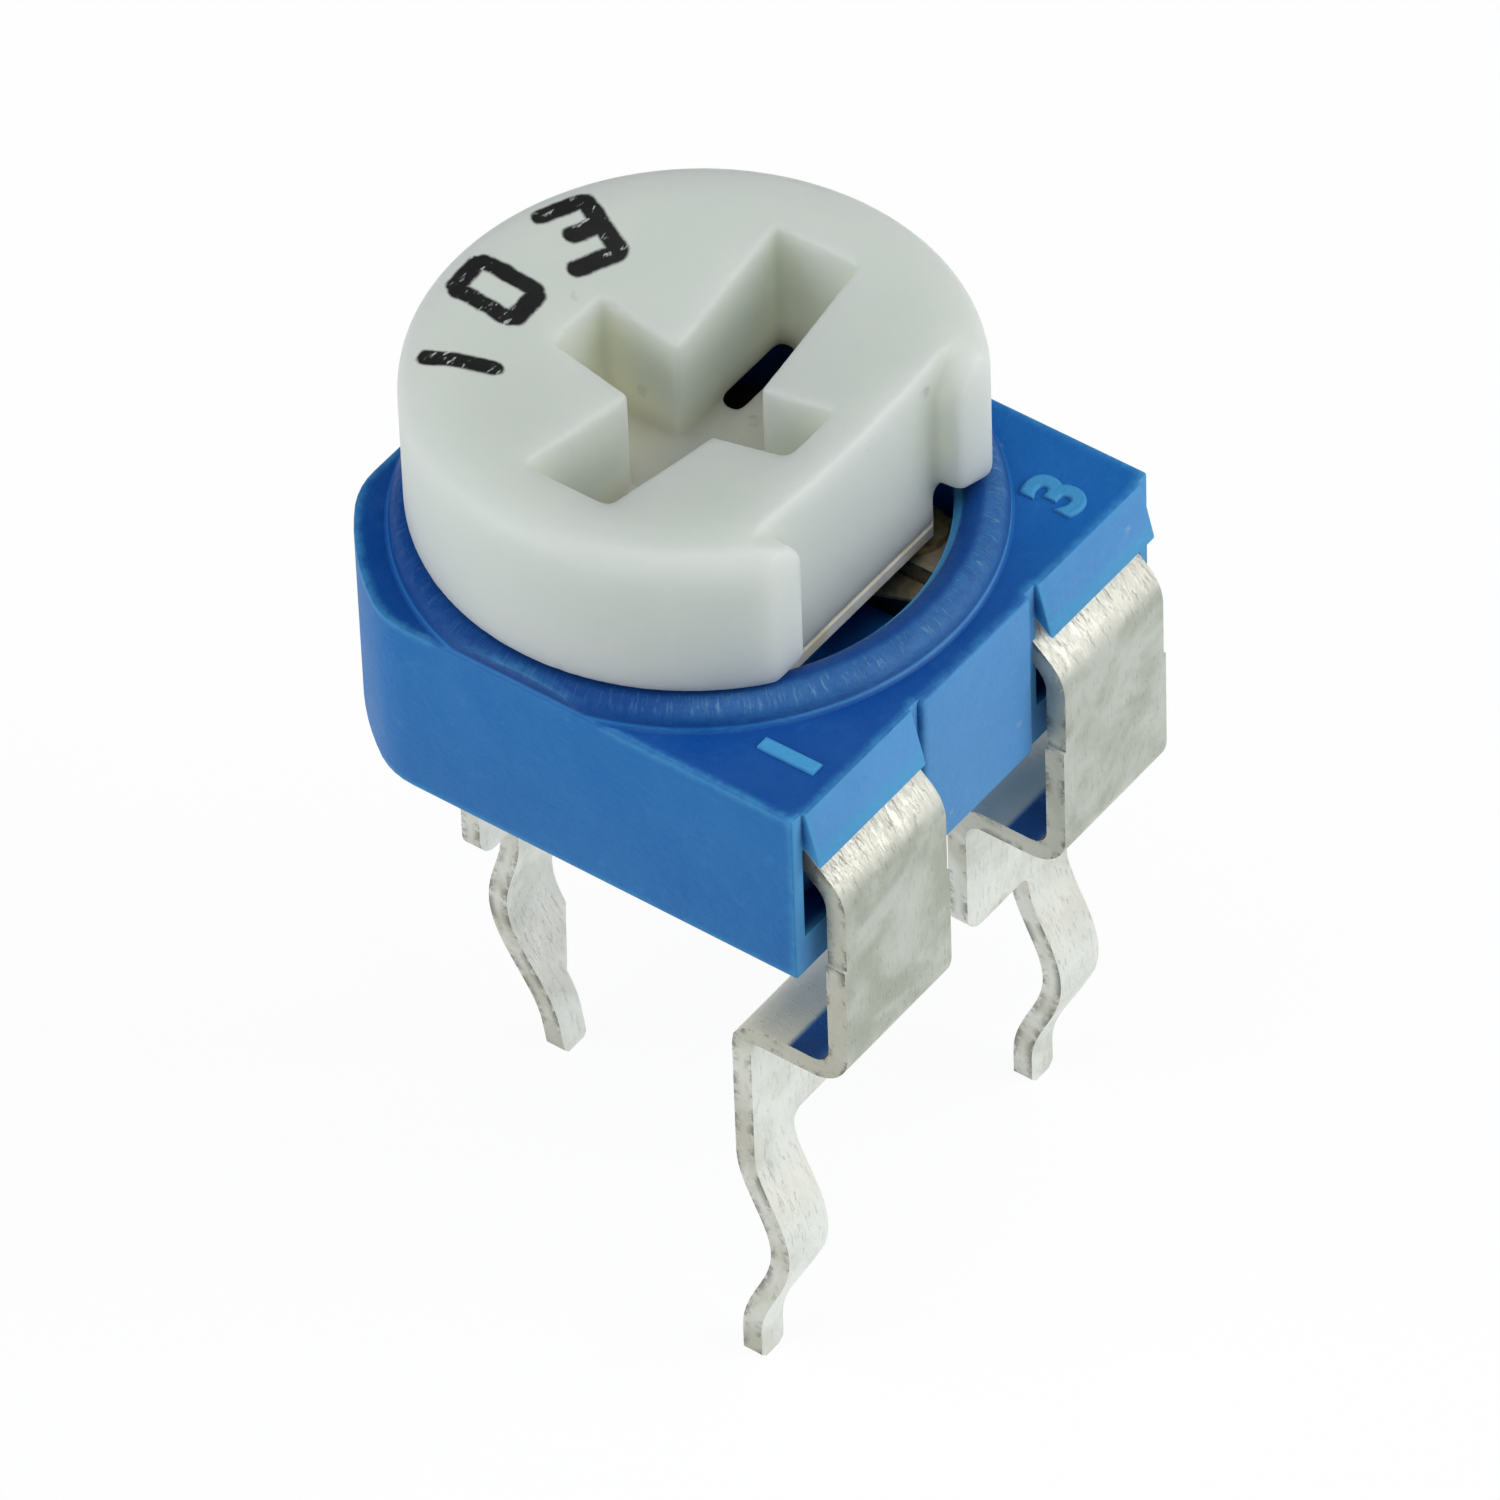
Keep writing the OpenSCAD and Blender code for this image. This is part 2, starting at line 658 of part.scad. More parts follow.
module end_terminal(side) {
    color(tin) difference() {
        intersection() {
            bent_sheet(end_path(), side < 0 ? -plate_outer : plate_inner, side < 0 ? -plate_inner : plate_outer);
            front_outline() {
                mirror([side < 0 ? 1 : 0, 0]) end_terminal_outline();
                translate([side * pin_x, 0]) pin_outline(pin_w);
            }
        }
        mirror([side < 0 ? 1 : 0, 0, 0])
            block(arm_x + arm_w, plate_outer + 1, -arm_neck_y, 0, eave_z - pocket_h, top_z);
        at_rivet(side) disc(rivet_r, floor_z, top_z);
    }
}

module left_terminal() { end_terminal(-1); }

module right_terminal() { end_terminal(1); }

// Centre line of the wiper terminal: strip under the board, rear plate and kinked, leaning pin
function lean_at(z) = wiper_lean * max(0, 1 - z / pin_length);

function wiper_path() =
    let (strip_z = floor_z - sheet_half,
         a = [0, strip_z],
         b = [pin_y, strip_z],
         c = [pin_y, seat_z])
    concat([a], bend(a, b, c, bend_r), [c],
           [for (i = [kink_steps - 1 : -1 : 0]) let (z = kink_foot + kink_l * i / kink_steps)
               [pin_y + kink_at(z) - lean_at(z), z]],
           [[pin_y - lean_at(0), 0]]);

module wiper_terminal() {
    strip_end_z = floor_z - bend_r - sheet_half;
    color(tin) difference() {
        union() {
            intersection() {
                bent_sheet(wiper_path(), -rear_half_w, rear_half_w);
                front_outline() {
                    translate([-strip_half_w, seat_z]) square([2 * strip_half_w, floor_z - seat_z + 1]);
                    for (side = [0, 1]) mirror([side, 0])
                        shoulder(-rear_half_w, -wiper_pin_w / 2, strip_end_z);
                    translate([-wiper_pin_w / 2, seat_z]) square([wiper_pin_w, strip_end_z - seat_z]);
                    pin_outline(wiper_pin_w);
                }
            }
            disc(collector_r, floor_z - sheet_t, floor_z);
            disc(tube_r, floor_z - eps, collector_z);
            disc(collector_r, board_z, collector_z);
        }
        disc(post_r + fit, floor_z - 1, collector_z + 1);
    }
}

housing();
rotor();
wiper_spring();
resistor_board();
carbon_track();
left_silver_pad();
right_silver_pad();
left_rivet();
right_rivet();
left_terminal();
right_terminal();
wiper_terminal();
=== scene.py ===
"""Studio scene of a top-adjust trimmer potentiometer with three kinked pins.

Z is the rotor's axis, -Y the side of the two end terminals. The studio is laid out in metres and the rest in
millimetres.
"""

from __future__ import annotations

import json
import logging
import math
from dataclasses import dataclass, field
from enum import Enum
from typing import Any, Callable, Iterable, Sequence

import bpy
from mathutils import Matrix, Vector

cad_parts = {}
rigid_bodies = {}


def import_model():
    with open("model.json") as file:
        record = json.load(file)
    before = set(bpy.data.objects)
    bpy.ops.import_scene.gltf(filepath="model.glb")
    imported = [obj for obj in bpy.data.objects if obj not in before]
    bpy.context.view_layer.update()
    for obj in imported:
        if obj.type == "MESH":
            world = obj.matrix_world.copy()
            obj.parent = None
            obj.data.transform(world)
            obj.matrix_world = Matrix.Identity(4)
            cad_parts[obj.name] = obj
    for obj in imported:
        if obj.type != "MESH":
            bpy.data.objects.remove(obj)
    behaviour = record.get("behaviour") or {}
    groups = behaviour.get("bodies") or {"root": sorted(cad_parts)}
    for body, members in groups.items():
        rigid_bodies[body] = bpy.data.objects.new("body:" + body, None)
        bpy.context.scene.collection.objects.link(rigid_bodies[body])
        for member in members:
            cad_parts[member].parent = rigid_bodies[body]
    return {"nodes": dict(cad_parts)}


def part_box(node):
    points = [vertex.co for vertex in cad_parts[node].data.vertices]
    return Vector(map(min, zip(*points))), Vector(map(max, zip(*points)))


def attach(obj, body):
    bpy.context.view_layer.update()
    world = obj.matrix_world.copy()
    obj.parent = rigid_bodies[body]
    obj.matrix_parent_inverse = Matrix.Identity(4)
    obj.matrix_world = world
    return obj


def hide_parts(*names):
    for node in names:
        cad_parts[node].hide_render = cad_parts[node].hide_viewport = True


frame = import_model()

MM = 0.001
SIDES = (-1.0, 1.0)
NEARNESS_SAMPLES = 5
LOG = logging.getLogger("trimmer")

Pair = tuple[float, float]
Triple = tuple[float, float, float]
Quad = tuple[float, float, float, float]
Colour = Triple
Piece = bpy.types.Object
Material = bpy.types.Material
NodeTree = bpy.types.NodeTree


class Body(Enum):
    """Rigid bodies of the part."""

    BASE = "base"
    ROTOR = "rotor"


class Slot(Enum):
    """Material slots of the record, which no piece here uses."""

    HOUSING = "housing"
    ROTOR = "rotor"
    TERMINAL = "terminal"


# ---- Shader maths ----


def node_operator(operation: str, turned: bool = False) -> Callable[[Value, Value | float], Value]:
    """Makes a method of Value that works on it and one other number.

    Args:
        operation: The Math node's operation.
        turned: True if the other number stands on the left.
    """

    def method(value: Value, other: Value | float) -> Value:
        """Result of the operation for two numbers."""
        return value.calculate(operation, *((other, value) if turned else (value, other)))

    return method


@dataclass(frozen=True)
class Value:
    """A number that varies over a surface, or a vector or colour, as the output socket of a shader node."""

    tree: NodeTree
    socket: bpy.types.NodeSocket

    __add__, __radd__ = node_operator("ADD"), node_operator("ADD", turned=True)
    __sub__, __rsub__ = node_operator("SUBTRACT"), node_operator("SUBTRACT", turned=True)
    __mul__, __rmul__ = node_operator("MULTIPLY"), node_operator("MULTIPLY", turned=True)
    __pow__ = node_operator("POWER")
    low, high = node_operator("MINIMUM"), node_operator("MAXIMUM")

    def calculate(self, operation: str, *inputs: Value | float) -> Value:
        """Adds one Math node and returns its result."""
        return add_node(self.tree, "ShaderNodeMath", {"operation": operation}, dict(enumerate(inputs)))

    def __neg__(self) -> Value:
        """Opposite."""
        return self * -1.0

    def __abs__(self) -> Value:
        """Size without its sign."""
        return self.calculate("ABSOLUTE", self)

    def beside(self, out: str | int) -> Value:
        """Another output of the same node, by name or number."""
        return Value(self.tree, self.socket.node.outputs[out])

    def ramp(self, start: float, end: float) -> Value:
        """Rises smoothly from 0 at start to 1 at end, or falls if end is the lower one.

        Args:
            start: The value that gives 0.
            end: The value that gives 1.

        Returns:
            A number from 0 to 1.
        """
        turned = start > end
        low, high = (end, start) if turned else (start, end)
        inputs = {"Value": self, "From Min": low, "From Max": high, "To Min": float(turned),
                  "To Max": float(not turned)}
        return add_node(self.tree, "ShaderNodeMapRange", {"interpolation_type": "SMOOTHSTEP"}, inputs)


def feed(tree: NodeTree, socket: bpy.types.NodeSocket, value: Any) -> None:
    """Links a pattern to a socket, or sets the socket's own value.

    Args:
        tree: The tree that holds the socket.
        socket: The input.
        value: A pattern, a number, a vector, or a colour, which gets full opacity.
    """
    if isinstance(value, Value):
        tree.links.new(value.socket, socket)
    else:
        socket.default_value = (*value, 1.0) if socket.type == "RGBA" else value


def add_node(tree: NodeTree, kind: str, settings: dict[str, Any] | None = None,
             inputs: dict[str | int, Any] | None = None, out: str | int = 0) -> Value:
    """Adds any shader node.

    Args:
        tree: The tree the node goes into.
        kind: The node's type, such as "ShaderNodeTexNoise".
        settings: Its settings.
        inputs: Values or patterns for its sockets, by name or number.
        out: The output that is returned, by name or number.

    Returns:
        The chosen output.
    """
    node = tree.nodes.new(kind)
    for name, setting in (settings or {}).items():
        setattr(node, name, setting)
    for name, value in (inputs or {}).items():
        feed(tree, node.inputs[name], value)
    return Value(tree, node.outputs[out])


@dataclass
class Surface:
    """One material being built, with patterns in millimetres of object space."""

    name: str
    material: Material = field(init=False)
    tree: NodeTree = field(init=False)
    shader: bpy.types.Node = field(init=False)
    place: Value = field(init=False)

    def __post_init__(self) -> None:
        """Starts the material with its object coordinates."""
        self.material = bpy.data.materials.new(self.name)
        self.material.use_nodes = True
        self.tree = self.material.node_tree
        self.shader = self.tree.nodes["Principled BSDF"]
        coords = add_node(self.tree, "ShaderNodeTexCoord", out="Object")
        self.place = add_node(self.tree, "ShaderNodeVectorMath", {"operation": "SCALE"},
                              {0: coords, "Scale": 1.0 / MM})

    def axes(self) -> tuple[Value, Value, Value]:
        """X, Y and Z in millimetres."""
        x = add_node(self.tree, "ShaderNodeSeparateXYZ", None, {0: self.place})
        return x, x.beside(1), x.beside(2)

    def radius(self) -> Value:
        """Distance from the rotor's axis in millimetres."""
        x, y, _ = self.axes()
        return (x * x + y * y) ** 0.5

    def facing(self, axis: int) -> Value:
        """One component of the surface's own normal, from -1 to 1, in object space.

        Args:
            axis: 0, 1 or 2 for X, Y or Z.
        """
        normal = add_node(self.tree, "ShaderNodeTexCoord", out="Normal")
        return add_node(self.tree, "ShaderNodeSeparateXYZ", None, {0: normal}, out=axis)

    def noise(self, per_mm: float | Triple, detail: float = 2.0, rough: float = 0.5, warp: float = 0.0,
              at: Value | None = None) -> Value:
        """Soft noise from 0 to 1.

        Args:
            per_mm: How many cells it has in a millimetre, or how many along X, Y and Z.
            detail: Octaves.
            rough: Weight of the finer octaves.
            warp: Distortion.
            at: Where it is read; the plain place if left out.
        """
        place, scale = at or self.place, per_mm
        if isinstance(per_mm, tuple):
            settings = {"operation": "MULTIPLY"}
            place, scale = add_node(self.tree, "ShaderNodeVectorMath", settings, {0: place, 1: per_mm}), 1.0
        return add_node(self.tree, "ShaderNodeTexNoise", None,
                        {"Vector": place, "Scale": scale, "Detail": detail, "Roughness": rough, "Distortion": warp})

    def nearness(self, reach: float, inside: bool) -> Value:
        """How close other faces of the same piece are, from 0 in the open to 1 deep in.

        Args:
            reach: How far it looks, in millimetres.
            inside: True looks into the solid, which marks outer edges; False looks out, which marks corners.
        """
        settings = {"samples": NEARNESS_SAMPLES, "inside": inside, "only_local": True}
        found = add_node(self.tree, "ShaderNodeAmbientOcclusion", settings, {"Distance": reach * MM}, out="AO")
        return 1.0 - found

    def specks(self, per_mm: float, size: float, share: float) -> Value:
        """Small round spots, 1 inside and 0 outside.

        Args:
            per_mm: Cells in a millimetre.
            size: Radius of a spot as a share of its cell.
            share: Part of the cells that hold a spot.
        """
        cell = add_node(self.tree, "ShaderNodeTexVoronoi", None, {"Vector": self.place, "Scale": per_mm},
                        out="Distance")
        draw = add_node(self.tree, "ShaderNodeSeparateColor", None, {0: cell.beside("Color")})
        return cell.ramp(size, size * 0.6) * draw.ramp(share + 0.01, share)

    def layers(self, base: Value | Colour, *coats: tuple[Value | Colour, Value | float]) -> Value:
        """Lays colours over one another.

        Args:
            base: The colour underneath.
            coats: Pairs of a colour and how much of it covers what lies below.
        """
        for tone, share in coats:
            base = add_node(self.tree, "ShaderNodeMix", {"data_type": "RGBA"}, {6: base, 7: tone, 0: share}, out=2)
        return base

    def set(self, **values: Any) -> None:
        """Sets the shader's sockets, such as Base_Color or Roughness, to numbers, colours or patterns."""
        for name, value in values.items():
            feed(self.tree, self.shader.inputs[name.replace("_", " ")], value)

    def relief(self, *layers: tuple[Value, float]) -> None:
        """Adds bumps to the surface.

        Args:
            layers: Pairs of a height pattern and its height in millimetres.
        """
        normal: Value | None = None
        for height, size in layers:
            inputs = {"Height": height, "Distance": size * MM, "Strength": 1.0}
            if normal:
                inputs["Normal"] = normal
            normal = add_node(self.tree, "ShaderNodeBump", None, inputs)
        self.set(Normal=normal)


# ---- Finishes ----


@dataclass(frozen=True)
class BluePolyester:
    """Moulded blue polyester: a fine cast grain, ragged pale edges of wear with a painted highlight, painted shade
    in its inner corners, on its top and on its collar, and painted light on its front faces, the right of its top
    and inside its cavity.

    Places are in millimetres: crest is the inner radius, outer radius and level of the bead's shoulder, inner_lip
    the radius and level of the bore's rim, and cavity the radius and roof of the space inside.
    """

    name: str = "blue_polyester"
    deep: Colour = (0.012, 0.168, 0.50)
    # Painted shade: a darker copy of the blue for faces that look up and for the collar.
    top: Colour = (0.0, 0.062, 0.315)
    # Pale blue of wear and moulding flow, also used as painted light on faces that look to -Y and as a painted
    # highlight on the collar's shoulder.
    wear_and_painted_light: Colour = (0.105, 0.335, 0.70)
    # Pale edges and inner lip: wear and chips, with a painted highlight.
    edge: Colour = (0.08, 0.38, 0.70)
    # Painted light: a brighter blue on the surfaces inside the cavity.
    inside: Colour = (0.02, 0.26, 0.80)
    lit: Colour = (0.02, 0.20, 0.62)
    shade: Colour = (0.0, 0.036, 0.21)
    dust: Colour = (0.42, 0.47, 0.45)
    # Painted glint in the nicks of the collar's front shoulder.
    nick_glint: Colour = (0.20, 0.46, 0.80)
    crest: Triple = (3.10, 3.26, 9.26)
    inner_lip: Pair = (2.80, 9.0)
    collar_foot: float = 9.14
    cavity: Pair = (2.93, 8.85)
    edge_reach: float = 0.13
    corner_reach: float = 0.30
    nick_cells: Triple = (46.0, 2.2, 2.0)

    def nicks(self, s: Surface) -> Value:
        """Fine radial nicks along the shoulder of the collar's bead, 1 in a nick, stronger towards -Y, where their
        paler tint is a painted glint.

        Args:
            s: The surface.
        """
        x, y, z = s.axes()
        radius = s.radius()
        round_axis, across, upright = self.nick_cells
        turn = y.calculate("ARCTAN2", y, x) * round_axis
        at = add_node(s.tree, "ShaderNodeCombineXYZ", None, {0: turn, 1: radius * across, 2: z * upright})
        inner, outer, level = self.crest
        band = radius.ramp(inner - 0.05, inner + 0.03) * radius.ramp(outer + 0.05, outer - 0.04)
        shoulder = band * z.ramp(level - 0.05, level)
        return s.noise(1.6, 3.0, 0.7, at=at).ramp(0.50, 0.70) * shoulder * (0.2 + 0.8 * y.ramp(-0.8, -2.2))

    def make(self) -> Material:
        """Builds the material."""
        s = Surface(self.name)
        x, y, z = s.axes()
        radius = s.radius()
        # Patterns of the moulding.
        cloud = s.noise(0.9, 4.0, 0.6).ramp(0.35, 0.7)
        grain = s.noise(10.0, 3.0, 0.65)
        flow = s.noise((5.0, 5.0, 16.0), 4.0, 0.7)
        rag = s.noise(5.5, 4.0, 0.7, warp=0.4)
        scuff = s.noise(3.2, 5.0, 0.7, warp=0.6).ramp(0.56, 0.74) * 0.36
        specks = s.specks(1.5, 0.10, 0.22) * rag.ramp(0.42, 0.6)
        nicks = self.nicks(s)
        # Places on the housing.
        inner, outer, _ = self.crest
        lip_radius, lip_level = self.inner_lip
        wall, roof = self.cavity
        front = (-s.facing(1)).ramp(0.6, 0.9)
        collar = z.ramp(self.collar_foot, self.collar_foot + 0.04)
        up = s.facing(2).ramp(0.35, 0.85).high(collar * 0.85)
        ragged_radius = radius + 0.12 * (rag - 0.5)
        lip = ragged_radius.ramp(lip_radius + 0.02, lip_radius - 0.02) * z.ramp(lip_level, lip_level + 0.08)
        edge = (s.nearness(self.edge_reach, True) * (0.2 + 1.5 * rag)).ramp(0.10, 0.30)
        corner = s.nearness(self.corner_reach, False).ramp(0.12, 0.7)
        crest = collar * radius.ramp(inner - 0.10, inner + 0.02) * radius.ramp(outer + 0.10, outer - 0.02)
        colour = s.layers(
            # The top colour is painted shade on faces that look up and on the collar.
            self.deep, (self.top, up),
            # Wear and moulding flow, and painted light on the faces that look to -Y.
            (self.wear_and_painted_light, (cloud * 0.16 + scuff * grain + 0.16 * flow + front * 0.8) * (1.0 - 0.6 * up)),
            (self.lit, up * x.ramp(0.0, 2.8) * (1.0 - collar) * 0.6),
            # Painted shade in inner corners and over the collar.
            (self.shade, (corner * 0.75).high(collar * 0.6)),
            # Painted highlight on the front of the collar's shoulder.
            (self.wear_and_painted_light, crest * y.ramp(-1.2, -2.4) * (0.08 + 0.40 * rag)),
            # Pale ragged edges and inner lip are wear with a painted highlight; the nick tint is a painted glint.
            (self.edge, (edge * 0.75).high(lip * 0.6)), (self.nick_glint, nicks * 0.5),
            # Painted light inside the cavity.
            (self.inside, radius.ramp(wall + 0.02, wall) * z.ramp(roof + 0.05, roof) * 0.85),
            (self.dust, specks * 0.55))
        s.set(Base_Color=colour, Roughness=0.42 + 0.10 * cloud + 0.12 * grain - 0.12 * up, Specular_IOR_Level=0.15)
        s.relief((s.noise(2.2, 3.0), 0.02), (flow, 0.014), (grain, 0.012), (nicks, 0.012))
        return s.material


@dataclass(frozen=True)
class MilkNylon:
    """Moulded off-white nylon: satin, a little translucent, with faint stains, a printed code and painted light in
    its hollows.

    Places are in millimetres: slot is the floor, the rim and the reach of the part of the long slot that turns
    darker and tan towards its floor.
    """

    plain: Colour = (0.648, 0.70, 0.664)
    # Painted light: a paler tone for hollows and inner corners.
    deep: Colour = (0.92, 0.90, 0.74)
    stain: Colour = (0.30, 0.31, 0.26)
    # Darker tan for the floor of the long slot.
    slot_floor_tan: Colour = (0.40, 0.365, 0.22)
    slot: Triple = (9.5, 9.95, 2.3)
    ink: Colour = (0.012, 0.012, 0.013)
    code_radius: float = 2.52
    code_angles: Triple = (121.5, 94.5, 65.5)
    stroke: float = 0.115
    code_shift: Pair = (-0.10, -0.12)
    code_above: float = 10.5
    hollow_reach: float = 0.9
    scatter: float = 1.6

    def bars(self, s: Surface, angle: float, bars: Sequence[Quad]) -> Value:
        """Distance to the nearest straight bar of a figure that stands on the rim.

        Args:
            s: The surface.
            angle: Where the figure's middle is round the axis, in degrees; its head points outwards.
            bars: Half width, half height and middle of each bar's centre line, in millimetres.
        """
        x, y, _ = s.axes()
        a = math.radians(angle)
        x, y = x - self.code_shift[0], y - self.code_shift[1]
        across = math.sin(a) * x - math.cos(a) * y
        along = math.cos(a) * x + math.sin(a) * y - self.code_radius
        nearest: Value | None = None
        for half_width, half_height, middle_x, middle_y in bars:
            dx = (abs(across - middle_x) - half_width).high(0.0)
            dy = (abs(along - middle_y) - half_height).high(0.0)
            distance = (dx * dx + dy * dy) ** 0.5
            nearest = distance if nearest is None else nearest.low(distance)
        return nearest

    def code(self, s: Surface) -> Value:
        """Ink of the printed code, 1 where it covers."""
        one = [(0.0, 0.35, 0.0, 0.0)]
        zero = [(0.20, 0.0, 0.0, 0.37), (0.20, 0.0, 0.0, -0.37), (0.0, 0.31, 0.26, 0.0), (0.0, 0.31, -0.26, 0.0)]
        three = [(0.24, 0.0, -0.04, 0.39), (0.15, 0.0, 0.05, 0.01), (0.24, 0.0, -0.04, -0.39),
                 (0.0, 0.15, 0.24, 0.21), (0.0, 0.15, 0.24, -0.20)]
        first, second, third = (self.bars(s, *figure) for figure in zip(self.code_angles, (one, zero, three)))
        ragged = self.stroke + 0.07 * (s.noise(5.0, 4.0, 0.65) - 0.5)
        inside = (ragged - first.low(second).low(third)).ramp(-0.025, 0.025)
        gaps = s.noise((5.0, 14.0, 5.0), 3.0, 0.6).ramp(0.60, 0.68)
        _, _, height = s.axes()
        return inside * (1.0 - 0.75 * gaps) * height.ramp(self.code_above - 0.1, self.code_above)

    def make(self) -> Material:
        """Builds the material."""
        s = Surface("milk_nylon")
        _, y, z = s.axes()
        cloud = s.noise(0.7, 3.0, 0.55)
        specks = s.specks(0.9, 0.10, 0.35) * s.noise(4.0).ramp(0.4, 0.62)
        corner = s.nearness(self.hollow_reach, False).ramp(0.18, 0.75)
        low, high, reach = self.slot
        # Darker and tan towards the floor of the long slot.
        sunk = z.ramp(high, low) * s.radius().ramp(reach + 0.15, reach) * y.ramp(-1.9, -1.7)
        code = self.code(s)
        # The deep colour is painted light in hollows and inner corners, with a faint random tone.
        colour = s.layers(self.plain, (self.deep, cloud.ramp(0.45, 0.8) * 0.06 + corner * 0.9),
                          (self.stain, specks * 0.5), (self.slot_floor_tan, sunk * (0.10 + 0.5 * cloud)), (self.ink, code))
        s.set(Base_Color=colour, Roughness=0.42 + 0.12 * s.noise(3.0) - 0.08 * code, Specular_IOR_Level=0.45,
              Subsurface_Weight=0.85, Subsurface_Radius=(1.0, 0.97, 0.85), Subsurface_Scale=self.scatter * MM)
        s.relief((s.noise(1.3, 2.0), 0.02), (s.noise(14.0, 2.0), 0.002))
        return s.material


@dataclass(frozen=True)
class TinPlate:
    """Dull tin plating on formed sheet: cloudy greys, tan stains, scratched bends with a painted highlight, beige
    sheared edges, painted light on the legs and the shelf, painted shade on the arms inside and a painted
    reflection in the shelf's hollow.

    Places are in millimetres: shelf is the lowest and highest level of the feet's flat and the wall behind it.
    """

    plain: Colour = (0.56, 0.60, 0.54)
    cloud: Colour = (0.40, 0.43, 0.36)
    # Painted highlight on the upper bends.
    bend_highlight: Colour = (0.96, 0.95, 0.85)
    # Painted light: a paler tin for the legs below the shelf.
    leg: Colour = (0.84, 0.87, 0.82)
    # Painted light: a warm pale tone on the shelf's upper face.
    seat: Colour = (0.98, 0.87, 0.63)
    tan: Colour = (0.42, 0.34, 0.22)
    sheared: Colour = (0.50, 0.49, 0.40)
    burr: Colour = (0.05, 0.05, 0.045)
    # Painted reflection of the blue housing and painted shade: navy in the shelf's hollow by the plate.
    corner: Colour = (0.12, 0.20, 0.34)
    # Painted shade: a dark brown on the arms inside the housing.
    inside: Colour = (0.40, 0.33, 0.21)
    shelf: Triple = (5.0, 5.6, -3.22)
    burr_reach: float = 0.12

    def make(self) -> Material:
        """Builds the material."""
        s = Surface("tin_plate")
        patches = s.noise(0.9, 4.0, 0.6, warp=0.4).ramp(0.4, 0.65)
        stains = s.noise(2.3, 4.0, 0.7).ramp(0.6, 0.78)
        scratches = s.noise((26.0, 5.0, 5.0), 4.0, 0.75).ramp(0.56, 0.70)
        streaks = s.noise((9.0, 2.2, 2.2), 4.0, 0.7).ramp(0.42, 0.66)
        side = abs(s.facing(0)).ramp(0.62, 0.8)
        up = s.facing(2).ramp(0.25, 0.6)
        _, y, z = s.axes()
        low, high, shelf_y = self.shelf
        # The shelf's upper face, which gets painted light and less metal.
        seat = up * z.ramp(low - 0.1, low) * z.ramp(high + 0.1, high)
        # The shelf's hollow by the plate: glossier metal with a painted navy reflection and shade.
        hollow = seat * y.ramp(shelf_y + 0.05, shelf_y - 0.05)
        # The legs below the shelf, which get painted light.
        leg = z.ramp(low + 0.1, low - 0.3)
        # The arms inside the housing, which get painted shade.
        arm = y.ramp(shelf_y + 0.2, shelf_y + 0.4) * z.ramp(high + 0.4, high + 0.8)
        bend = up * (1.0 - seat)
        burr = s.nearness(self.burr_reach, True).ramp(0.08, 0.32) * s.noise(2.4, 5.0, 0.8).ramp(0.46, 0.58)
        colour = s.layers(
            self.plain, (self.cloud, patches), (self.leg, leg * (1.0 - 0.35 * patches)), (self.tan, stains * 0.3),
            # Painted highlight on the upper bends, full on the shelf.
            (self.bend_highlight, (bend * (0.55 + 0.45 * streaks)).high(seat)), (self.tan, bend * (1.0 - streaks) * 0.14),
            (self.seat, seat), (self.sheared, side * (0.45 + 0.4 * patches)), (self.corner, hollow * 0.9),
            (self.inside, arm * 0.85), (self.burr, burr * side * 0.8))
        rough = 0.38 + 0.14 * s.noise(2.0, 3.0) - 0.10 * scratches * up + 0.06 * streaks - 0.22 * hollow
        s.set(Base_Color=colour, Metallic=0.60 - 0.22 * up - 0.32 * seat + 0.84 * hollow, Roughness=rough)
        s.relief((s.noise(2.5, 3.0), 0.012), (scratches * (1.0 - hollow), 0.006), (streaks * bend, 0.008),
                 (s.noise(18.0, 2.0), 0.002))
        return s.material


@dataclass(frozen=True)
class SheetBronze:
    """Pale bronze strip of the wiper, made near-white and not metallic: its own pale tone with a painted highlight.
    """

    plain: Colour = (0.97, 0.94, 0.84)
    dull: Colour = (0.80, 0.74, 0.58)

    def make(self) -> Material:
        """Builds the material."""
        s = Surface("sheet_bronze")
        # The near-white colour carries a painted highlight on the strip.
        s.set(Base_Color=s.layers(self.plain, (self.dull, s.noise(2.0, 3.0).ramp(0.4, 0.7))),
              Metallic=0.0, Roughness=0.32 + 0.12 * s.noise(6.0))
        s.relief((s.noise(8.0, 2.0), 0.003))
        return s.material


@dataclass(frozen=True)
class PlainFinish:
    """A finish for a piece inside: two tones, a roughness and a grain."""

    name: str
    light: Colour
    dark: Colour
    roughness: float
    metallic: float = 0.0
    grain: float = 6.0

    def make(self) -> Material:
        """Builds the material."""
        s = Surface(self.name)
        grain = s.noise(self.grain, 3.0, 0.6)
        s.set(Base_Color=s.layers(self.light, (self.dark, grain.ramp(0.35, 0.7))), Metallic=self.metallic,
              Roughness=self.roughness + 0.1 * grain)
        s.relief((grain, 0.004))
        return s.material


INNER_FINISHES: dict[tuple[str, ...], PlainFinish] = {
    ("resistor_board",): PlainFinish("phenolic_paper", (0.10, 0.05, 0.028), (0.05, 0.026, 0.016), 0.5),
    ("carbon_track",): PlainFinish("carbon_film", (0.02, 0.02, 0.022), (0.01, 0.01, 0.011), 0.45),
    ("left_silver_pad", "right_silver_pad"): PlainFinish(
        "silver_ink", (0.36, 0.30, 0.19), (0.20, 0.155, 0.095), 0.5, metallic=0.15),
    ("left_rivet", "right_rivet"): PlainFinish(
        "rolled_brass", (0.46, 0.38, 0.22), (0.30, 0.24, 0.14), 0.4, metallic=0.8),
}


# ---- Studio ----


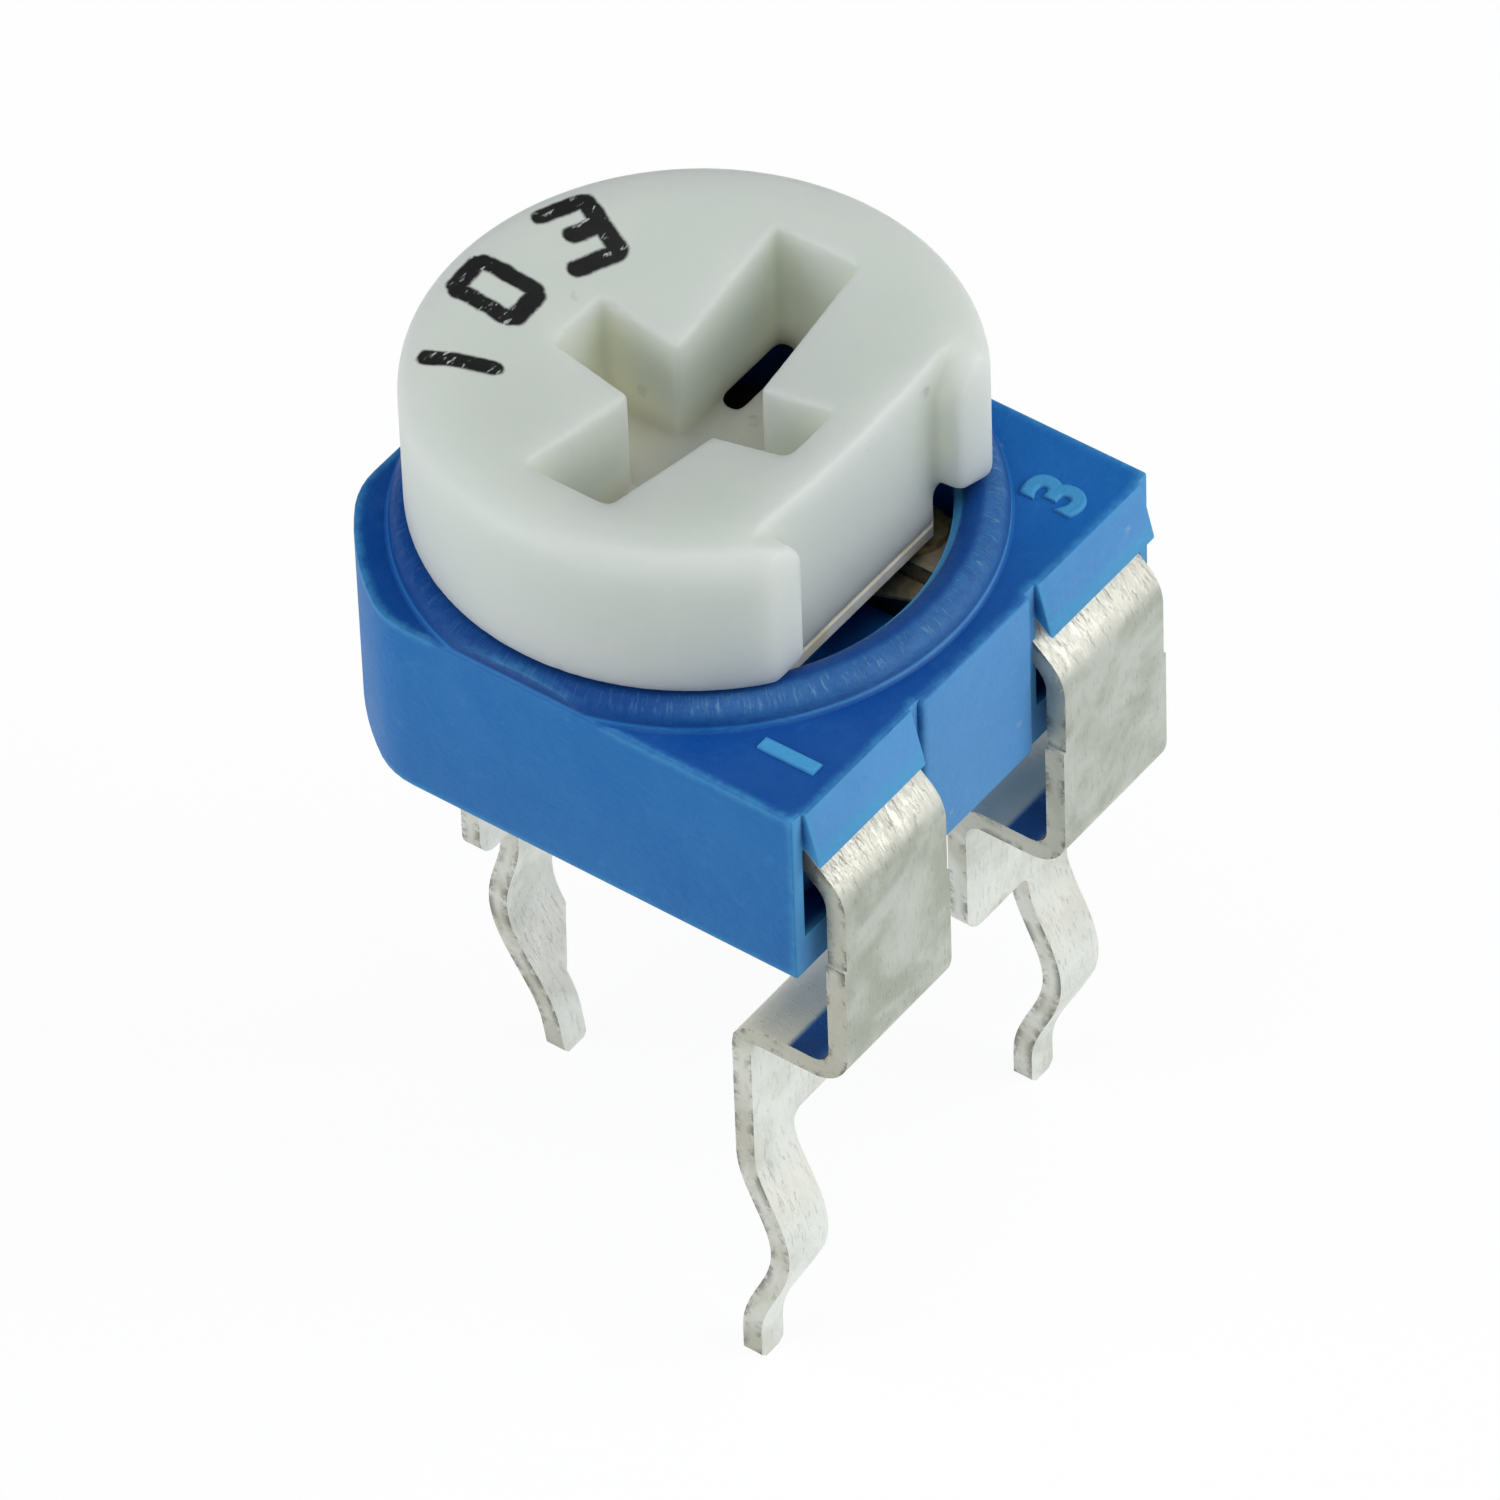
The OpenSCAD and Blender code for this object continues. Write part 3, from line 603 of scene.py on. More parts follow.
@dataclass(frozen=True)
class Lamp:
    """A soft rectangular lamp that looks at the part."""

    name: str
    azimuth: float
    elevation: float
    distance: float
    size: Pair
    watts: float
    tint: Colour = (1.0, 1.0, 1.0)

    def place(self, target: Vector) -> None:
        """Adds the lamp.

        Args:
            target: The point it looks at.
        """
        data = bpy.data.lights.new(self.name, "AREA")
        data.shape = "RECTANGLE"
        data.size, data.size_y = self.size
        data.energy, data.color = self.watts, self.tint
        lamp = bpy.data.objects.new(self.name, data)
        bpy.context.scene.collection.objects.link(lamp)
        back = direction(self.azimuth, self.elevation)
        stand = Matrix.Translation(target + back * self.distance)
        lamp.matrix_world = stand @ back.to_track_quat("Z", "Y").to_matrix().to_4x4()


def direction(azimuth: float, elevation: float) -> Vector:
    """Unit vector from the part towards a viewer.

    Args:
        azimuth: Degrees round Z, 0 from the -Y side and 90 from the +X side.
        elevation: Degrees above the floor.
    """
    a, e = math.radians(azimuth), math.radians(elevation)
    return Vector((math.sin(a) * math.cos(e), -math.cos(a) * math.cos(e), math.sin(e)))


@dataclass
class Studio:
    """Floor, lamps, surroundings and camera.

    Each dark side of the surroundings is an azimuth, an elevation and how dark it is.
    """

    azimuth: float = -52.264
    elevation: float = 44.767
    roll: float = -2.134
    distance: float = 163.12 * MM
    lens: float = 358.85
    sensor: float = 36.0
    clip: Pair = (0.01, 2.0)
    aim: Vector = field(default_factory=lambda: Vector((0.0, 0.0, 4.35 * MM)))
    aim_right: float = 0.415 * MM
    aim_up: float = 0.831 * MM
    floor_size: float = 0.6
    floor_tone: Colour = (0.60, 0.61, 0.62)
    floor_glow: Pair = (0.88, 1.06)
    air: float = 0.40
    air_tint: Colour = (0.92, 0.95, 1.0)
    dark_sides: tuple[Triple, ...] = ((-50.0, 20.0, 0.8), (128.0, 45.0, 0.75))
    lamps: tuple[Lamp, ...] = (
        Lamp("key_lamp", 25.0, 32.0, 0.30, (0.24, 0.20), 0.50, (1.0, 0.99, 0.97)),
        Lamp("fill_lamp", -122.0, 20.0, 0.32, (0.24, 0.20), 0.45, (0.96, 0.98, 1.0)),
        Lamp("top_lamp", -60.0, 78.0, 0.30, (0.20, 0.20), 0.30, (1.0, 1.0, 0.98)),
    )

    def camera(self) -> None:
        """Adds the camera at the portrait's angle."""
        data = bpy.data.cameras.new("portrait_camera")
        data.sensor_width, data.lens = self.sensor, self.lens
        data.clip_start, data.clip_end = self.clip
        camera = bpy.data.objects.new("portrait_camera", data)
        bpy.context.scene.collection.objects.link(camera)
        back = direction(self.azimuth, self.elevation)
        level = Vector((0.0, 0.0, 1.0)).cross(back).normalized()
        upright = back.cross(level)
        turn = math.radians(self.roll)
        right = math.cos(turn) * level + math.sin(turn) * upright
        up = -math.sin(turn) * level + math.cos(turn) * upright
        eye = self.aim + self.aim_right * right + self.aim_up * up + self.distance * back
        camera.matrix_world = Matrix.Translation(eye) @ Matrix((right, up, back)).transposed().to_4x4()
        bpy.context.scene.camera = camera

    def floor(self) -> None:
        """Adds the plain pale floor, which glows for every look but a diffuse one."""
        deselect()
        bpy.ops.mesh.primitive_plane_add(size=self.floor_size, location=(0.0, 0.0, 0.0))
        plane = bpy.context.object
        plane.name = "studio_floor"
        s = Surface("studio_white")
        s.set(Base_Color=self.floor_tone, Roughness=0.9)
        share, strength = self.floor_glow
        glow = add_node(s.tree, "ShaderNodeEmission", None, {"Color": (1.0, 1.0, 1.0), "Strength": strength})
        soft = add_node(s.tree, "ShaderNodeLightPath", out="Is Diffuse Ray")
        mix = add_node(s.tree, "ShaderNodeMixShader", None,
                       {0: share * (1.0 - soft), 1: Value(s.tree, s.shader.outputs[0]), 2: glow})
        feed(s.tree, s.tree.nodes["Material Output"].inputs["Surface"], mix)
        plane.data.materials.append(s.material)

    def surroundings(self) -> None:
        """Sets the pale surroundings that fill the shadows."""
        world = bpy.data.worlds.new("studio_air")
        world.use_nodes = True
        tree = world.node_tree
        back = tree.nodes["Background"]
        feed(tree, back.inputs["Color"], self.air_tint)
        heading = add_node(tree, "ShaderNodeTexCoord", out="Generated")
        strength: Value | float = self.air
        for azimuth, elevation, depth in self.dark_sides:
            axis = tuple(direction(azimuth, elevation))
            share = add_node(tree, "ShaderNodeVectorMath", {"operation": "DOT_PRODUCT"}, {0: heading, 1: axis},
                             out="Value")
            strength = strength * (1.0 - depth * share.ramp(0.2, 0.9))
        feed(tree, back.inputs["Strength"], strength)
        bpy.context.scene.world = world
        bpy.context.scene.view_settings.view_transform = "Standard"

    def build(self) -> None:
        """Sets the whole studio up."""
        self.floor()
        self.surroundings()
        for lamp in self.lamps:
            lamp.place(self.aim)
        self.camera()
        LOG.info("studio ready with %d lamps", len(self.lamps))


# ---- Modelling, at a thousand times life size, so that a unit is a millimetre ----

ON_AXIS = 1e-6  # a radius that counts as none
SEAM_GAP = 1e-4  # closer vertices of a turned solid are one
NODE_GAP = 5e-4  # closer vertices of a copied node are one
FLAT_ANGLE = 0.6  # faces of a copied node that turn less, in degrees, are one


def deselect() -> None:
    """Leaves edit mode and deselects every object."""
    if bpy.context.object and bpy.context.object.mode != "OBJECT":
        bpy.ops.object.mode_set(mode="OBJECT")
    bpy.ops.object.select_all(action="DESELECT")


def pick(piece: Piece) -> None:
    """Selects only this piece and makes it active."""
    deselect()
    piece.select_set(True)
    bpy.context.view_layer.objects.active = piece


def dress(node: str, material: Material) -> None:
    """Gives a node of the frame its finish.

    Args:
        node: The node's name.
        material: Its finish.
    """
    for slot in frame["nodes"][node].material_slots:
        slot.material = material


def block(low: Triple, high: Triple) -> Piece:
    """A cuboid between two corners.

    Args:
        low: Its lowest corner.
        high: Its highest corner.
    """
    deselect()
    middle = tuple((a + b) / 2 for a, b in zip(low, high))
    bpy.ops.mesh.primitive_cube_add(size=1.0, location=middle)
    piece = bpy.context.object
    piece.scale = tuple(b - a for a, b in zip(low, high))
    bpy.ops.object.transform_apply()
    return piece


def drum(radius: float, bottom: float, top: float, sides: int) -> Piece:
    """An upright cylinder about the rotor's axis.

    Args:
        radius: Its radius.
        bottom: Level of its lower end.
        top: Level of its upper end.
        sides: Facets of its wall.
    """
    deselect()
    bpy.ops.mesh.primitive_cylinder_add(vertices=sides, radius=radius, depth=top - bottom,
                                        location=(0.0, 0.0, (top + bottom) / 2))
    bpy.ops.object.transform_apply()
    return bpy.context.object


def prism(points: Sequence[Pair], plane: str, start: float, end: float) -> Piece:
    """A solid with the same outline from start to end.

    Args:
        points: Corners of the outline in order.
        plane: "XY", "XZ" or "YZ"; the first coordinate is the plane's first axis.
        start: Where the solid starts along the third axis.
        end: Where it ends.
    """
    deselect()
    bpy.ops.mesh.primitive_circle_add(vertices=len(points), radius=1.0, fill_type="NGON")
    piece = bpy.context.object
    for vertex, (a, b) in zip(piece.data.vertices, points):
        vertex.co = {"XY": (a, b, start), "XZ": (a, start, b), "YZ": (start, a, b)}[plane]
    axis = {"XY": Vector((0, 0, 1)), "XZ": Vector((0, 1, 0)), "YZ": Vector((1, 0, 0))}[plane]
    bpy.ops.object.mode_set(mode="EDIT")
    bpy.ops.mesh.select_all(action="SELECT")
    bpy.ops.mesh.extrude_region_move(TRANSFORM_OT_translate={"value": axis * (end - start)})
    outward()
    return piece


def lathe(profile: Sequence[Pair], steps: int) -> Piece:
    """A closed solid turned about Z.

    Args:
        profile: Radius and level of each point, as a loop for a ring or from axis to axis for a solid.
        steps: Facets of a full turn.
    """
    deselect()
    bpy.ops.mesh.primitive_circle_add(vertices=len(profile), radius=1.0, fill_type="NOTHING")
    piece = bpy.context.object
    for vertex, (r, z) in zip(piece.data.vertices, profile):
        vertex.co = (r, 0.0, z)
    bpy.ops.object.mode_set(mode="EDIT")
    bpy.ops.mesh.select_mode(type="EDGE")
    bpy.ops.mesh.select_all(action="DESELECT")
    bpy.ops.object.mode_set(mode="OBJECT")
    for edge in piece.data.edges:
        edge.select = all(piece.data.vertices[v].co.x < ON_AXIS for v in edge.vertices)
    bpy.ops.object.mode_set(mode="EDIT")
    bpy.ops.mesh.delete(type="EDGE")
    bpy.ops.mesh.select_all(action="SELECT")
    bpy.ops.mesh.spin(steps=steps, angle=math.tau, center=(0, 0, 0), axis=(0, 0, 1))
    bpy.ops.mesh.select_all(action="SELECT")
    bpy.ops.mesh.remove_doubles(threshold=SEAM_GAP)
    outward()
    return piece


def outward() -> None:
    """Turns the faces of the piece being edited outwards and leaves edit mode."""
    bpy.ops.mesh.select_all(action="SELECT")
    bpy.ops.mesh.normals_make_consistent(inside=False)
    bpy.ops.object.mode_set(mode="OBJECT")


def apply(piece: Piece, kind: str, **settings: Any) -> None:
    """Adds one modifier and applies it.

    Args:
        piece: The piece.
        kind: The modifier's type.
        settings: Its settings.
    """
    pick(piece)
    modifier = piece.modifiers.new(kind.lower(), kind)
    for name, setting in settings.items():
        setattr(modifier, name, setting)
    bpy.ops.object.modifier_apply(modifier=modifier.name)


def combine(piece: Piece, others: Iterable[Piece], operation: str = "DIFFERENCE") -> None:
    """Cuts others out of a piece or joins them to it, and deletes them.

    Args:
        piece: The piece that changes.
        others: The cutters or additions.
        operation: "DIFFERENCE", "UNION" or "INTERSECT".
    """
    for other in others:
        apply(piece, "BOOLEAN", operation=operation, object=other, solver="EXACT")
        bpy.data.objects.remove(other, do_unlink=True)


def soften(piece: Piece, width: float, segments: int, above: float) -> None:
    """Rounds every edge sharper than an angle.

    Args:
        piece: The piece.
        width: Width of the round.
        segments: Facets of the round.
        above: The angle in degrees.
    """
    apply(piece, "BEVEL", width=width, segments=segments, limit_method="ANGLE",
          angle_limit=math.radians(above), miter_outer="MITER_ARC")


def from_node(node: str) -> Piece:
    """A merged copy of a node's solid, in millimetres.

    Args:
        node: The node that is copied.
    """
    pick(frame["nodes"][node])
    bpy.ops.object.duplicate()
    piece = bpy.context.object
    bpy.ops.object.parent_clear(type="CLEAR_KEEP_TRANSFORM")
    bpy.ops.transform.resize(value=(1.0 / MM,) * 3, center_override=(0.0, 0.0, 0.0))
    bpy.ops.object.transform_apply()
    bpy.ops.object.mode_set(mode="EDIT")
    bpy.ops.mesh.select_all(action="SELECT")
    bpy.ops.mesh.remove_doubles(threshold=NODE_GAP)
    bpy.ops.mesh.dissolve_limited(angle_limit=math.radians(FLAT_ANGLE))
    bpy.ops.object.mode_set(mode="OBJECT")
    return piece


def hand_over(piece: Piece, name: str, body: Body, material: Material, smooth: float,
              nodes: Sequence[str] = ()) -> None:
    """Brings a piece to life size and hands it over.

    Args:
        piece: The piece, modelled in millimetres.
        name: Its name.
        body: The body it rides on.
        material: Its finish.
        smooth: Edges up to this angle are shaded smooth.
        nodes: Nodes of the frame it stands for.
    """
    pick(piece)
    bpy.ops.transform.resize(value=(MM,) * 3, center_override=(0.0, 0.0, 0.0))
    bpy.ops.object.transform_apply()
    bpy.ops.object.shade_smooth_by_angle(angle=math.radians(smooth))
    piece.name = piece.data.name = name
    piece.data.materials.clear()
    piece.data.materials.append(material)
    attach(piece, body.value)
    if nodes:
        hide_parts(*nodes)
    LOG.info("%s: %d faces", name, len(piece.data.polygons))


def arc(centre: Pair, radius: float, start: float, end: float, steps: int) -> list[Pair]:
    """Points along an arc.

    Args:
        centre: Its centre.
        radius: Its radius.
        start: First angle in degrees.
        end: Last angle in degrees.
        steps: Chords.
    """
    angles = [math.radians(start + (end - start) * i / steps) for i in range(steps + 1)]
    return [(centre[0] + radius * math.cos(a), centre[1] + radius * math.sin(a)) for a in angles]


def rounded(first: Pair, corner: Pair, last: Pair, steps: int = 4) -> list[Pair]:
    """Points along a curve that rounds a corner off.

    Args:
        first: Where it leaves the first side.
        corner: The corner.
        last: Where it meets the second side.
        steps: Chords.
    """
    shares = [i / steps for i in range(steps + 1)]
    return [tuple((1 - t) ** 2 * a + 2 * t * (1 - t) * b + t * t * c for a, b, c in zip(first, corner, last))
            for t in shares]


def millimetres(node: str) -> tuple[Vector, Vector]:
    """Lowest and highest corner of a node, in millimetres."""
    low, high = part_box(node)
    return Vector(low) / MM, Vector(high) / MM


# ---- Rotor ----


@dataclass
class Rotor:
    """The slotted rotor that an adjusting tool turns.

    Heights and depths are measured from the top. A slot is a half length and a half width, the window its ends and
    its sides, the recess where it starts beside and before the axis, the socket a radius and a depth, and the rise
    an outline from the notch's side and the cap's underside. Cutters start below and end past the cap or above.
    """

    cap_radius: float = 3.15
    cap_height: float = 1.92
    edge_round: float = 0.3
    foot_bevel: float = 0.06
    dish_radius: float = 2.65
    dish_depth: float = 0.70
    dish_power: float = 1.15
    dish_lip: Pair = (0.02, 0.006)
    dish_places: tuple[float, ...] = (0.97, 0.85, 0.7, 0.55, 0.4, 0.25, 0.1)
    neck_radius: float = 2.66
    flange_radius: float = 2.82
    flange_depth: float = 2.23
    flange_height: float = 0.16
    flange_slope: float = 0.01
    notch_half_width: float = 1.38
    notch_y: float = 2.1
    ear_y: float = 2.47
    ear_round: float = 0.68
    nose_round: float = 0.14
    long_slot: Pair = (2.24, 0.54)
    short_slot: Pair = (1.54, 0.425)
    slot_depth: float = 1.84
    window: Quad = (1.16, 2.87, 0.33, 1.0)
    recess: Pair = (1.41, 1.8)
    socket: Pair = (0.55, 2.04)
    rise: tuple[Pair, ...] = ((-0.01, -0.1), (-0.01, 0.16), (0.10, 0.15), (0.55, 0.0), (0.55, -0.1))
    overlap: float = 0.01
    reach: float = 4.0
    wall_start: float = -4.5
    rise_start: float = -3.2
    below: float = 8.0
    above: float = 1.0
    voxel: float = 0.04
    smoothings: int = 16
    smooth_angle: float = 180.0
    top: float = field(init=False)

    def __post_init__(self) -> None:
        """Reads the level of the rotor's top from the frame."""
        self.top = millimetres("rotor")[1].z

    def turned(self) -> Piece:
        """The plain turned body with its dish, rounded rim, neck and flange."""
        top, bevel, round_ = self.top, self.foot_bevel, self.edge_round
        cap, flange = top - self.cap_height, top - self.flange_depth
        bottom = flange - self.flange_height
        lip, drop = self.dish_lip
        rim = arc((self.cap_radius - round_, top - round_), round_, 0.0, 90.0, 10)
        dish = [(self.dish_radius * t, top - self.dish_depth * (1.0 - t) ** self.dish_power)
                for t in self.dish_places]
        profile = [(0.0, bottom), (self.flange_radius, bottom), (self.flange_radius, flange),
                   (self.neck_radius, flange + self.flange_slope), (self.neck_radius, cap),
                   (self.cap_radius - bevel, cap), (self.cap_radius, cap + bevel), *rim,
                   (self.dish_radius + lip, top - drop), *dish, (0.0, top - self.dish_depth)]
        return lathe(profile, 144)

    def notch_cutters(self) -> list[Piece]:
        """Cutters of the front notch: the wide wall with rolled corners, and the flat noses of the ears."""
        x, r, nose, over = self.notch_half_width, self.ear_round, self.nose_round, self.overlap
        wall, ear, cap = -self.notch_y, -self.ear_y, self.top - self.cap_height
        reach, far, below, above = self.reach, self.reach + 1.0, self.below, self.top + self.above
        right = arc((x + r, self.top - r), r, 180.0, 90.0, 10)
        left = [(-a, b) for a, b in reversed(right)]
        front = [(-x, below), (x, below), *right, (x + r, above), (-x - r, above), *left]
        cutters = [prism(front, "XZ", self.wall_start, wall), block((-reach, -far, below), (reach, ear, above)),
                   block((-reach, -far, below), (reach, wall, cap - over))]
        beside, before = self.recess
        for side in SIDES:
            low, high = sorted((side * beside, side * reach))
            cutters.append(block((low, -reach, below), (high, -before, cap)))
            turn = arc((x + nose, ear + nose), nose, 270.0, 180.0, 8)
            inner = [(x - over, ear - over), (x + nose, ear - over), *turn, (x - over, ear + nose)]
            cutters.append(prism([(side * a, b) for a, b in inner], "XY", below, above))
        rise = [(x + a, cap + b) for a, b in self.rise]
        cutters.append(prism(rise, "XZ", self.rise_start, wall))
        return cutters

    def slot_cutters(self) -> list[Piece]:
        """Cutters of the crossed slots, the window in their floor and the socket of the post."""
        floor, below, above = self.top - self.slot_depth, self.below, self.top + self.above
        inner, outer, near, far = self.window
        radius, roof = self.socket
        (a, b), (c, d) = self.long_slot, self.short_slot
        return [block((-a, -b, floor), (a, b, above)), block((-d, -c, floor), (d, c, above)),
                block((inner, near, below), (outer, far, floor + 2 * self.overlap)),
                drum(radius, below, self.top - roof, 96)]

    def build(self, material: Material) -> None:
        """Models the rotor.

        Args:
            material: Its finish.
        """
        piece = self.turned()
        combine(piece, self.notch_cutters())
        combine(piece, self.slot_cutters())
        apply(piece, "REMESH", mode="VOXEL", voxel_size=self.voxel, use_smooth_shade=True)
        apply(piece, "SMOOTH", factor=0.5, iterations=self.smoothings)
        hand_over(piece, "rotor_knob", Body.ROTOR, material, self.smooth_angle, ["rotor"])


# ---- Housing ----


@dataclass
class Housing:
    """The blue moulded housing with its collar, eaves and centre block.

    Levels are measured up from the bottom face. Of the fields with several numbers, bead, skirt, ring_recess, post
    and relief are a width or radius, then a height or depth; pocket is floor and roof; eave_reach, eave_root and
    slope are y at the top and at the foot; arm_slot, foot_recess and strip_slot are x, then y, then a height; rib
    is a radius and a half angle; mark_form is the figures' size, thickness, swelling and bevel.
    """

    half_width: float = 3.23
    front: float = -3.58
    back: float = 3.27
    rear_radius: float = 3.7
    edge_round: float = 0.035
    corner_turn: float = 4.5
    corner_run: float = 0.28
    top_below_crest: float = 0.3
    floor: float = 1.05
    cavity_radius: float = 2.92
    bore_radius: float = 2.72
    lip: float = 2.45
    bead: Pair = (0.31, 0.30)
    skirt: Pair = (3.40, 0.3)
    collar_foot: tuple[Pair, ...] = ((0.012, 0.018), (0.035, 0.004))
    collar_inset: float = 0.012
    block_half_width: float = 1.0
    block_front: float = -3.66
    block_root: float = -3.3
    block_round: float = 0.10
    eave: Pair = (1.14, 3.06)
    eave_reach: Pair = (-3.62, -3.80)
    eave_height: float = 0.72
    eave_root: Pair = (-3.45, -3.5)
    eave_round: float = 0.045
    pocket_y: float = -3.2
    pocket_side: float = 3.07
    pocket: Pair = (0.53, 1.63)
    slope: Pair = (-3.5, -3.72)
    arm_roof: float = 1.92
    arm_slot: Quad = (1.05, 1.93, -1.5, 0.08)
    foot_recess: Quad = (1.09, 2.37, 2.71, 0.7)
    strip_slot: Triple = (0.59, 2.05, 2.4)
    ring_recess: Pair = (1.16, 0.25)
    post: Pair = (0.5, 2.54)
    rib: Pair = (2.54, 4.0)
    stop_top: float = 2.17
    stop_angle: float = 126.0
    relief: Pair = (0.55, 0.3)
    overlap: float = 0.1
    lap: float = 0.03
    root: float = 0.05
    outside: float = -4.5
    above: float = 2.0
    smooth_angle: float = 38.0
    mark_form: Quad = (0.95, 0.01, 0.006, 0.035)
    mark_lift: float = 0.005
    mark_angle: float = 70.0
    marks: tuple[tuple[str, float, float], ...] = (("1", -2.45, -3.02), ("3", 2.38, -3.02))
    levels: Pair = field(init=False)

    def __post_init__(self) -> None:
        """Reads the bottom and the top face from the frame."""
        low, high = millimetres("housing")
        self.levels = (low.z, high.z - self.top_below_crest)

    def plan(self, grow: float = 0.0) -> list[Pair]:
        """Outline seen from above, with the two rear corners cut by an arc about the rotor's axis.

        Args:
            grow: Offset outwards.
        """
        w, f, b, r = self.half_width + grow, self.front - grow, self.back + grow, self.rear_radius + grow
        start, end = math.acos(w / r), math.asin(b / r)
        turn = self.corner_turn
        corner = arc((0.0, 0.0), r, math.degrees(start) + turn, math.degrees(end) - turn, 8)
        side_y, rear_x = r * math.sin(start), r * math.cos(end)
        side = rounded((w, side_y - self.corner_run), (w, side_y), corner[0])
        rear = rounded(corner[-1], (rear_x, b), (rear_x - self.corner_run, b))
        right = [*side, *corner[1:-1], *rear]
        return [(-w, f), (w, f), *right, *[(-x, y) for x, y in reversed(right)]]

    def shell(self) -> Piece:
        """The box with its cavity, wall pockets and underside relief."""
        bottom, top = self.levels
        piece = prism(self.plan(), "XY", bottom, top)
        soften(piece, self.edge_round, 3, 15.0)
        over, floor, roof = self.overlap, bottom + self.floor, bottom + self.arm_roof
        rim, depth = self.relief
        foot, first, last, height = self.foot_recess
        strip, start, end = self.strip_slot
        ring, sunk = self.ring_recess
        cutters = [drum(self.cavity_radius, floor, bottom + self.lip, 144),
                   prism(self.plan(-rim), "XY", bottom - 5 * over, bottom + depth),
                   block((-foot, first, bottom - over), (foot, last, bottom + height)),
                   block((-strip, start, bottom - over), (strip, last, floor + over)),
                   drum(ring, floor - sunk, floor + over, 64),
                   block((-strip, 0.0, floor - sunk), (strip, end, floor + over))]
        low, high = (bottom + level for level in self.pocket)
        slope_top, slope_foot = self.slope
        behind, under = self.pocket_y, high - self.lap
        slope = [(behind + 0.0005, under), (behind, roof), (slope_top, roof), (slope_foot, under)]
        near, far, arm_end, drop = self.arm_slot
        for side in SIDES:
            a, b = sorted((side * self.eave[0], side * self.pocket_side))
            cutters += [block((a, self.outside, low), (b, behind, high)), prism(slope, "YZ", a, b)]
            a, b = sorted((side * near, side * far))
            cutters.append(block((a, self.block_root, high - drop), (b, arm_end, roof)))
        combine(piece, cutters)
        return piece

    def collar(self) -> Piece:
        """The rounded collar that the rotor's neck turns in, with a soft foot."""
        bottom, top = self.levels
        lip = bottom + self.lip
        wide, tall = self.bead
        middle = self.bore_radius + wide
        skirt, hem = self.skirt[0], top - self.skirt[1]
        crest = [(middle + wide * a, top + tall * b) for a, b in arc((0.0, 0.0), 1.0, 180.0, 8.0, 18)]
        foot = [(crest[-1][0] + out, top + up) for out, up in self.collar_foot]
        profile = [(self.bore_radius, lip), *crest[1:], *foot, (skirt, top - 0.02), (skirt, hem),
                   (self.cavity_radius, hem), (self.cavity_radius, lip)]
        ring = lathe(profile, 180)
        combine(ring, [prism(self.plan(-self.collar_inset), "XY", bottom, top + self.above)], "INTERSECT")
        return ring

    def eaves(self) -> list[Piece]:
        """The two sloping eaves over the end terminals."""
        bottom, top = self.levels
        high, low = self.eave_reach
        root, foot = self.eave_root
        under = bottom + self.arm_roof + 0.01
        face = [(root, top), (high, top), (low, top - self.eave_height), (foot, under), (root, under)]
        made = [prism(face, "YZ", *sorted(side * x for x in self.eave)) for side in SIDES]
        for piece in made:
            soften(piece, self.eave_round, 4, 30.0)
        return made

    def front_block(self) -> Piece:
        """The raised block between the end terminals."""
        bottom, top = self.levels
        w = self.block_half_width
        piece = block((-w, self.block_front, bottom), (w, self.block_root, top))
        soften(piece, self.block_round, 5, 30.0)
        return piece

    def inner_parts(self) -> list[Piece]:
        """The rotor's post and the two stop ribs inside the cavity."""
        bottom = self.levels[0]
        floor = bottom + self.floor
        (radius, top), root = self.post, self.root
        inside, half = self.rib
        made = [drum(radius, floor - self.ring_recess[1] - root, bottom + top, 64)]
        for side in SIDES:
            middle = 90.0 + side * self.stop_angle
            inner = arc((0.0, 0.0), inside, middle + half, middle - half, 4)
            outer = arc((0.0, 0.0), self.cavity_radius + root, middle - half, middle + half, 4)
            made.append(prism(inner + outer, "XY", floor - root, bottom + self.stop_top))
        return made

    def pin_mark(self, text: str, x: float, y: float) -> Piece:
        """A raised pin number.

        Args:
            text: The number.
            x: Place of its middle.
            y: Place of its middle.
        """
        deselect()
        bpy.ops.object.text_add(location=(0.0, 0.0, 0.0))
        piece = bpy.context.object
        figure = piece.data
        figure.body, figure.align_x, figure.align_y = text, "CENTER", "CENTER"
        figure.size, figure.extrude, figure.offset, figure.bevel_depth = self.mark_form
        figure.bevel_resolution = 3
        bpy.ops.object.convert(target="MESH")
        bpy.ops.transform.translate(value=(x, y, self.levels[1] + self.mark_lift))
        bpy.ops.object.transform_apply()
        return piece

    def build(self, material: Material, relief: Material) -> None:
        """Models the housing.

        Args:
            material: Its finish.
            relief: A paler copy of its finish, painted light on its raised numbers.
        """
        piece = self.shell()
        combine(piece, [self.collar(), *self.eaves(), self.front_block(), *self.inner_parts()], "UNION")
        hand_over(piece, "housing_shell", Body.BASE, material, self.smooth_angle, ["housing"])
        for text, x, y in self.marks:
            mark = self.pin_mark(text, x, y)
            hand_over(mark, f"pin_mark_{text}", Body.BASE, relief, self.mark_angle)


# ---- Terminals ----


@dataclass
class Terminals:
    """The three formed sheet terminals."""

    nodes: tuple[str, ...] = ("left_terminal", "right_terminal", "wiper_terminal")
    edge: float = 0.035
    sharp_angle: float = 50.0

    def build(self, material: Material) -> None:
        """Models the terminals with the rounded edges of sheared sheet.

        Args:
            material: Their finish.
        """
        for node in self.nodes:
            piece = from_node(node)
            soften(piece, self.edge, 3, self.sharp_angle)
            hand_over(piece, node + "_sheet", Body.BASE, material, self.sharp_angle, [node])


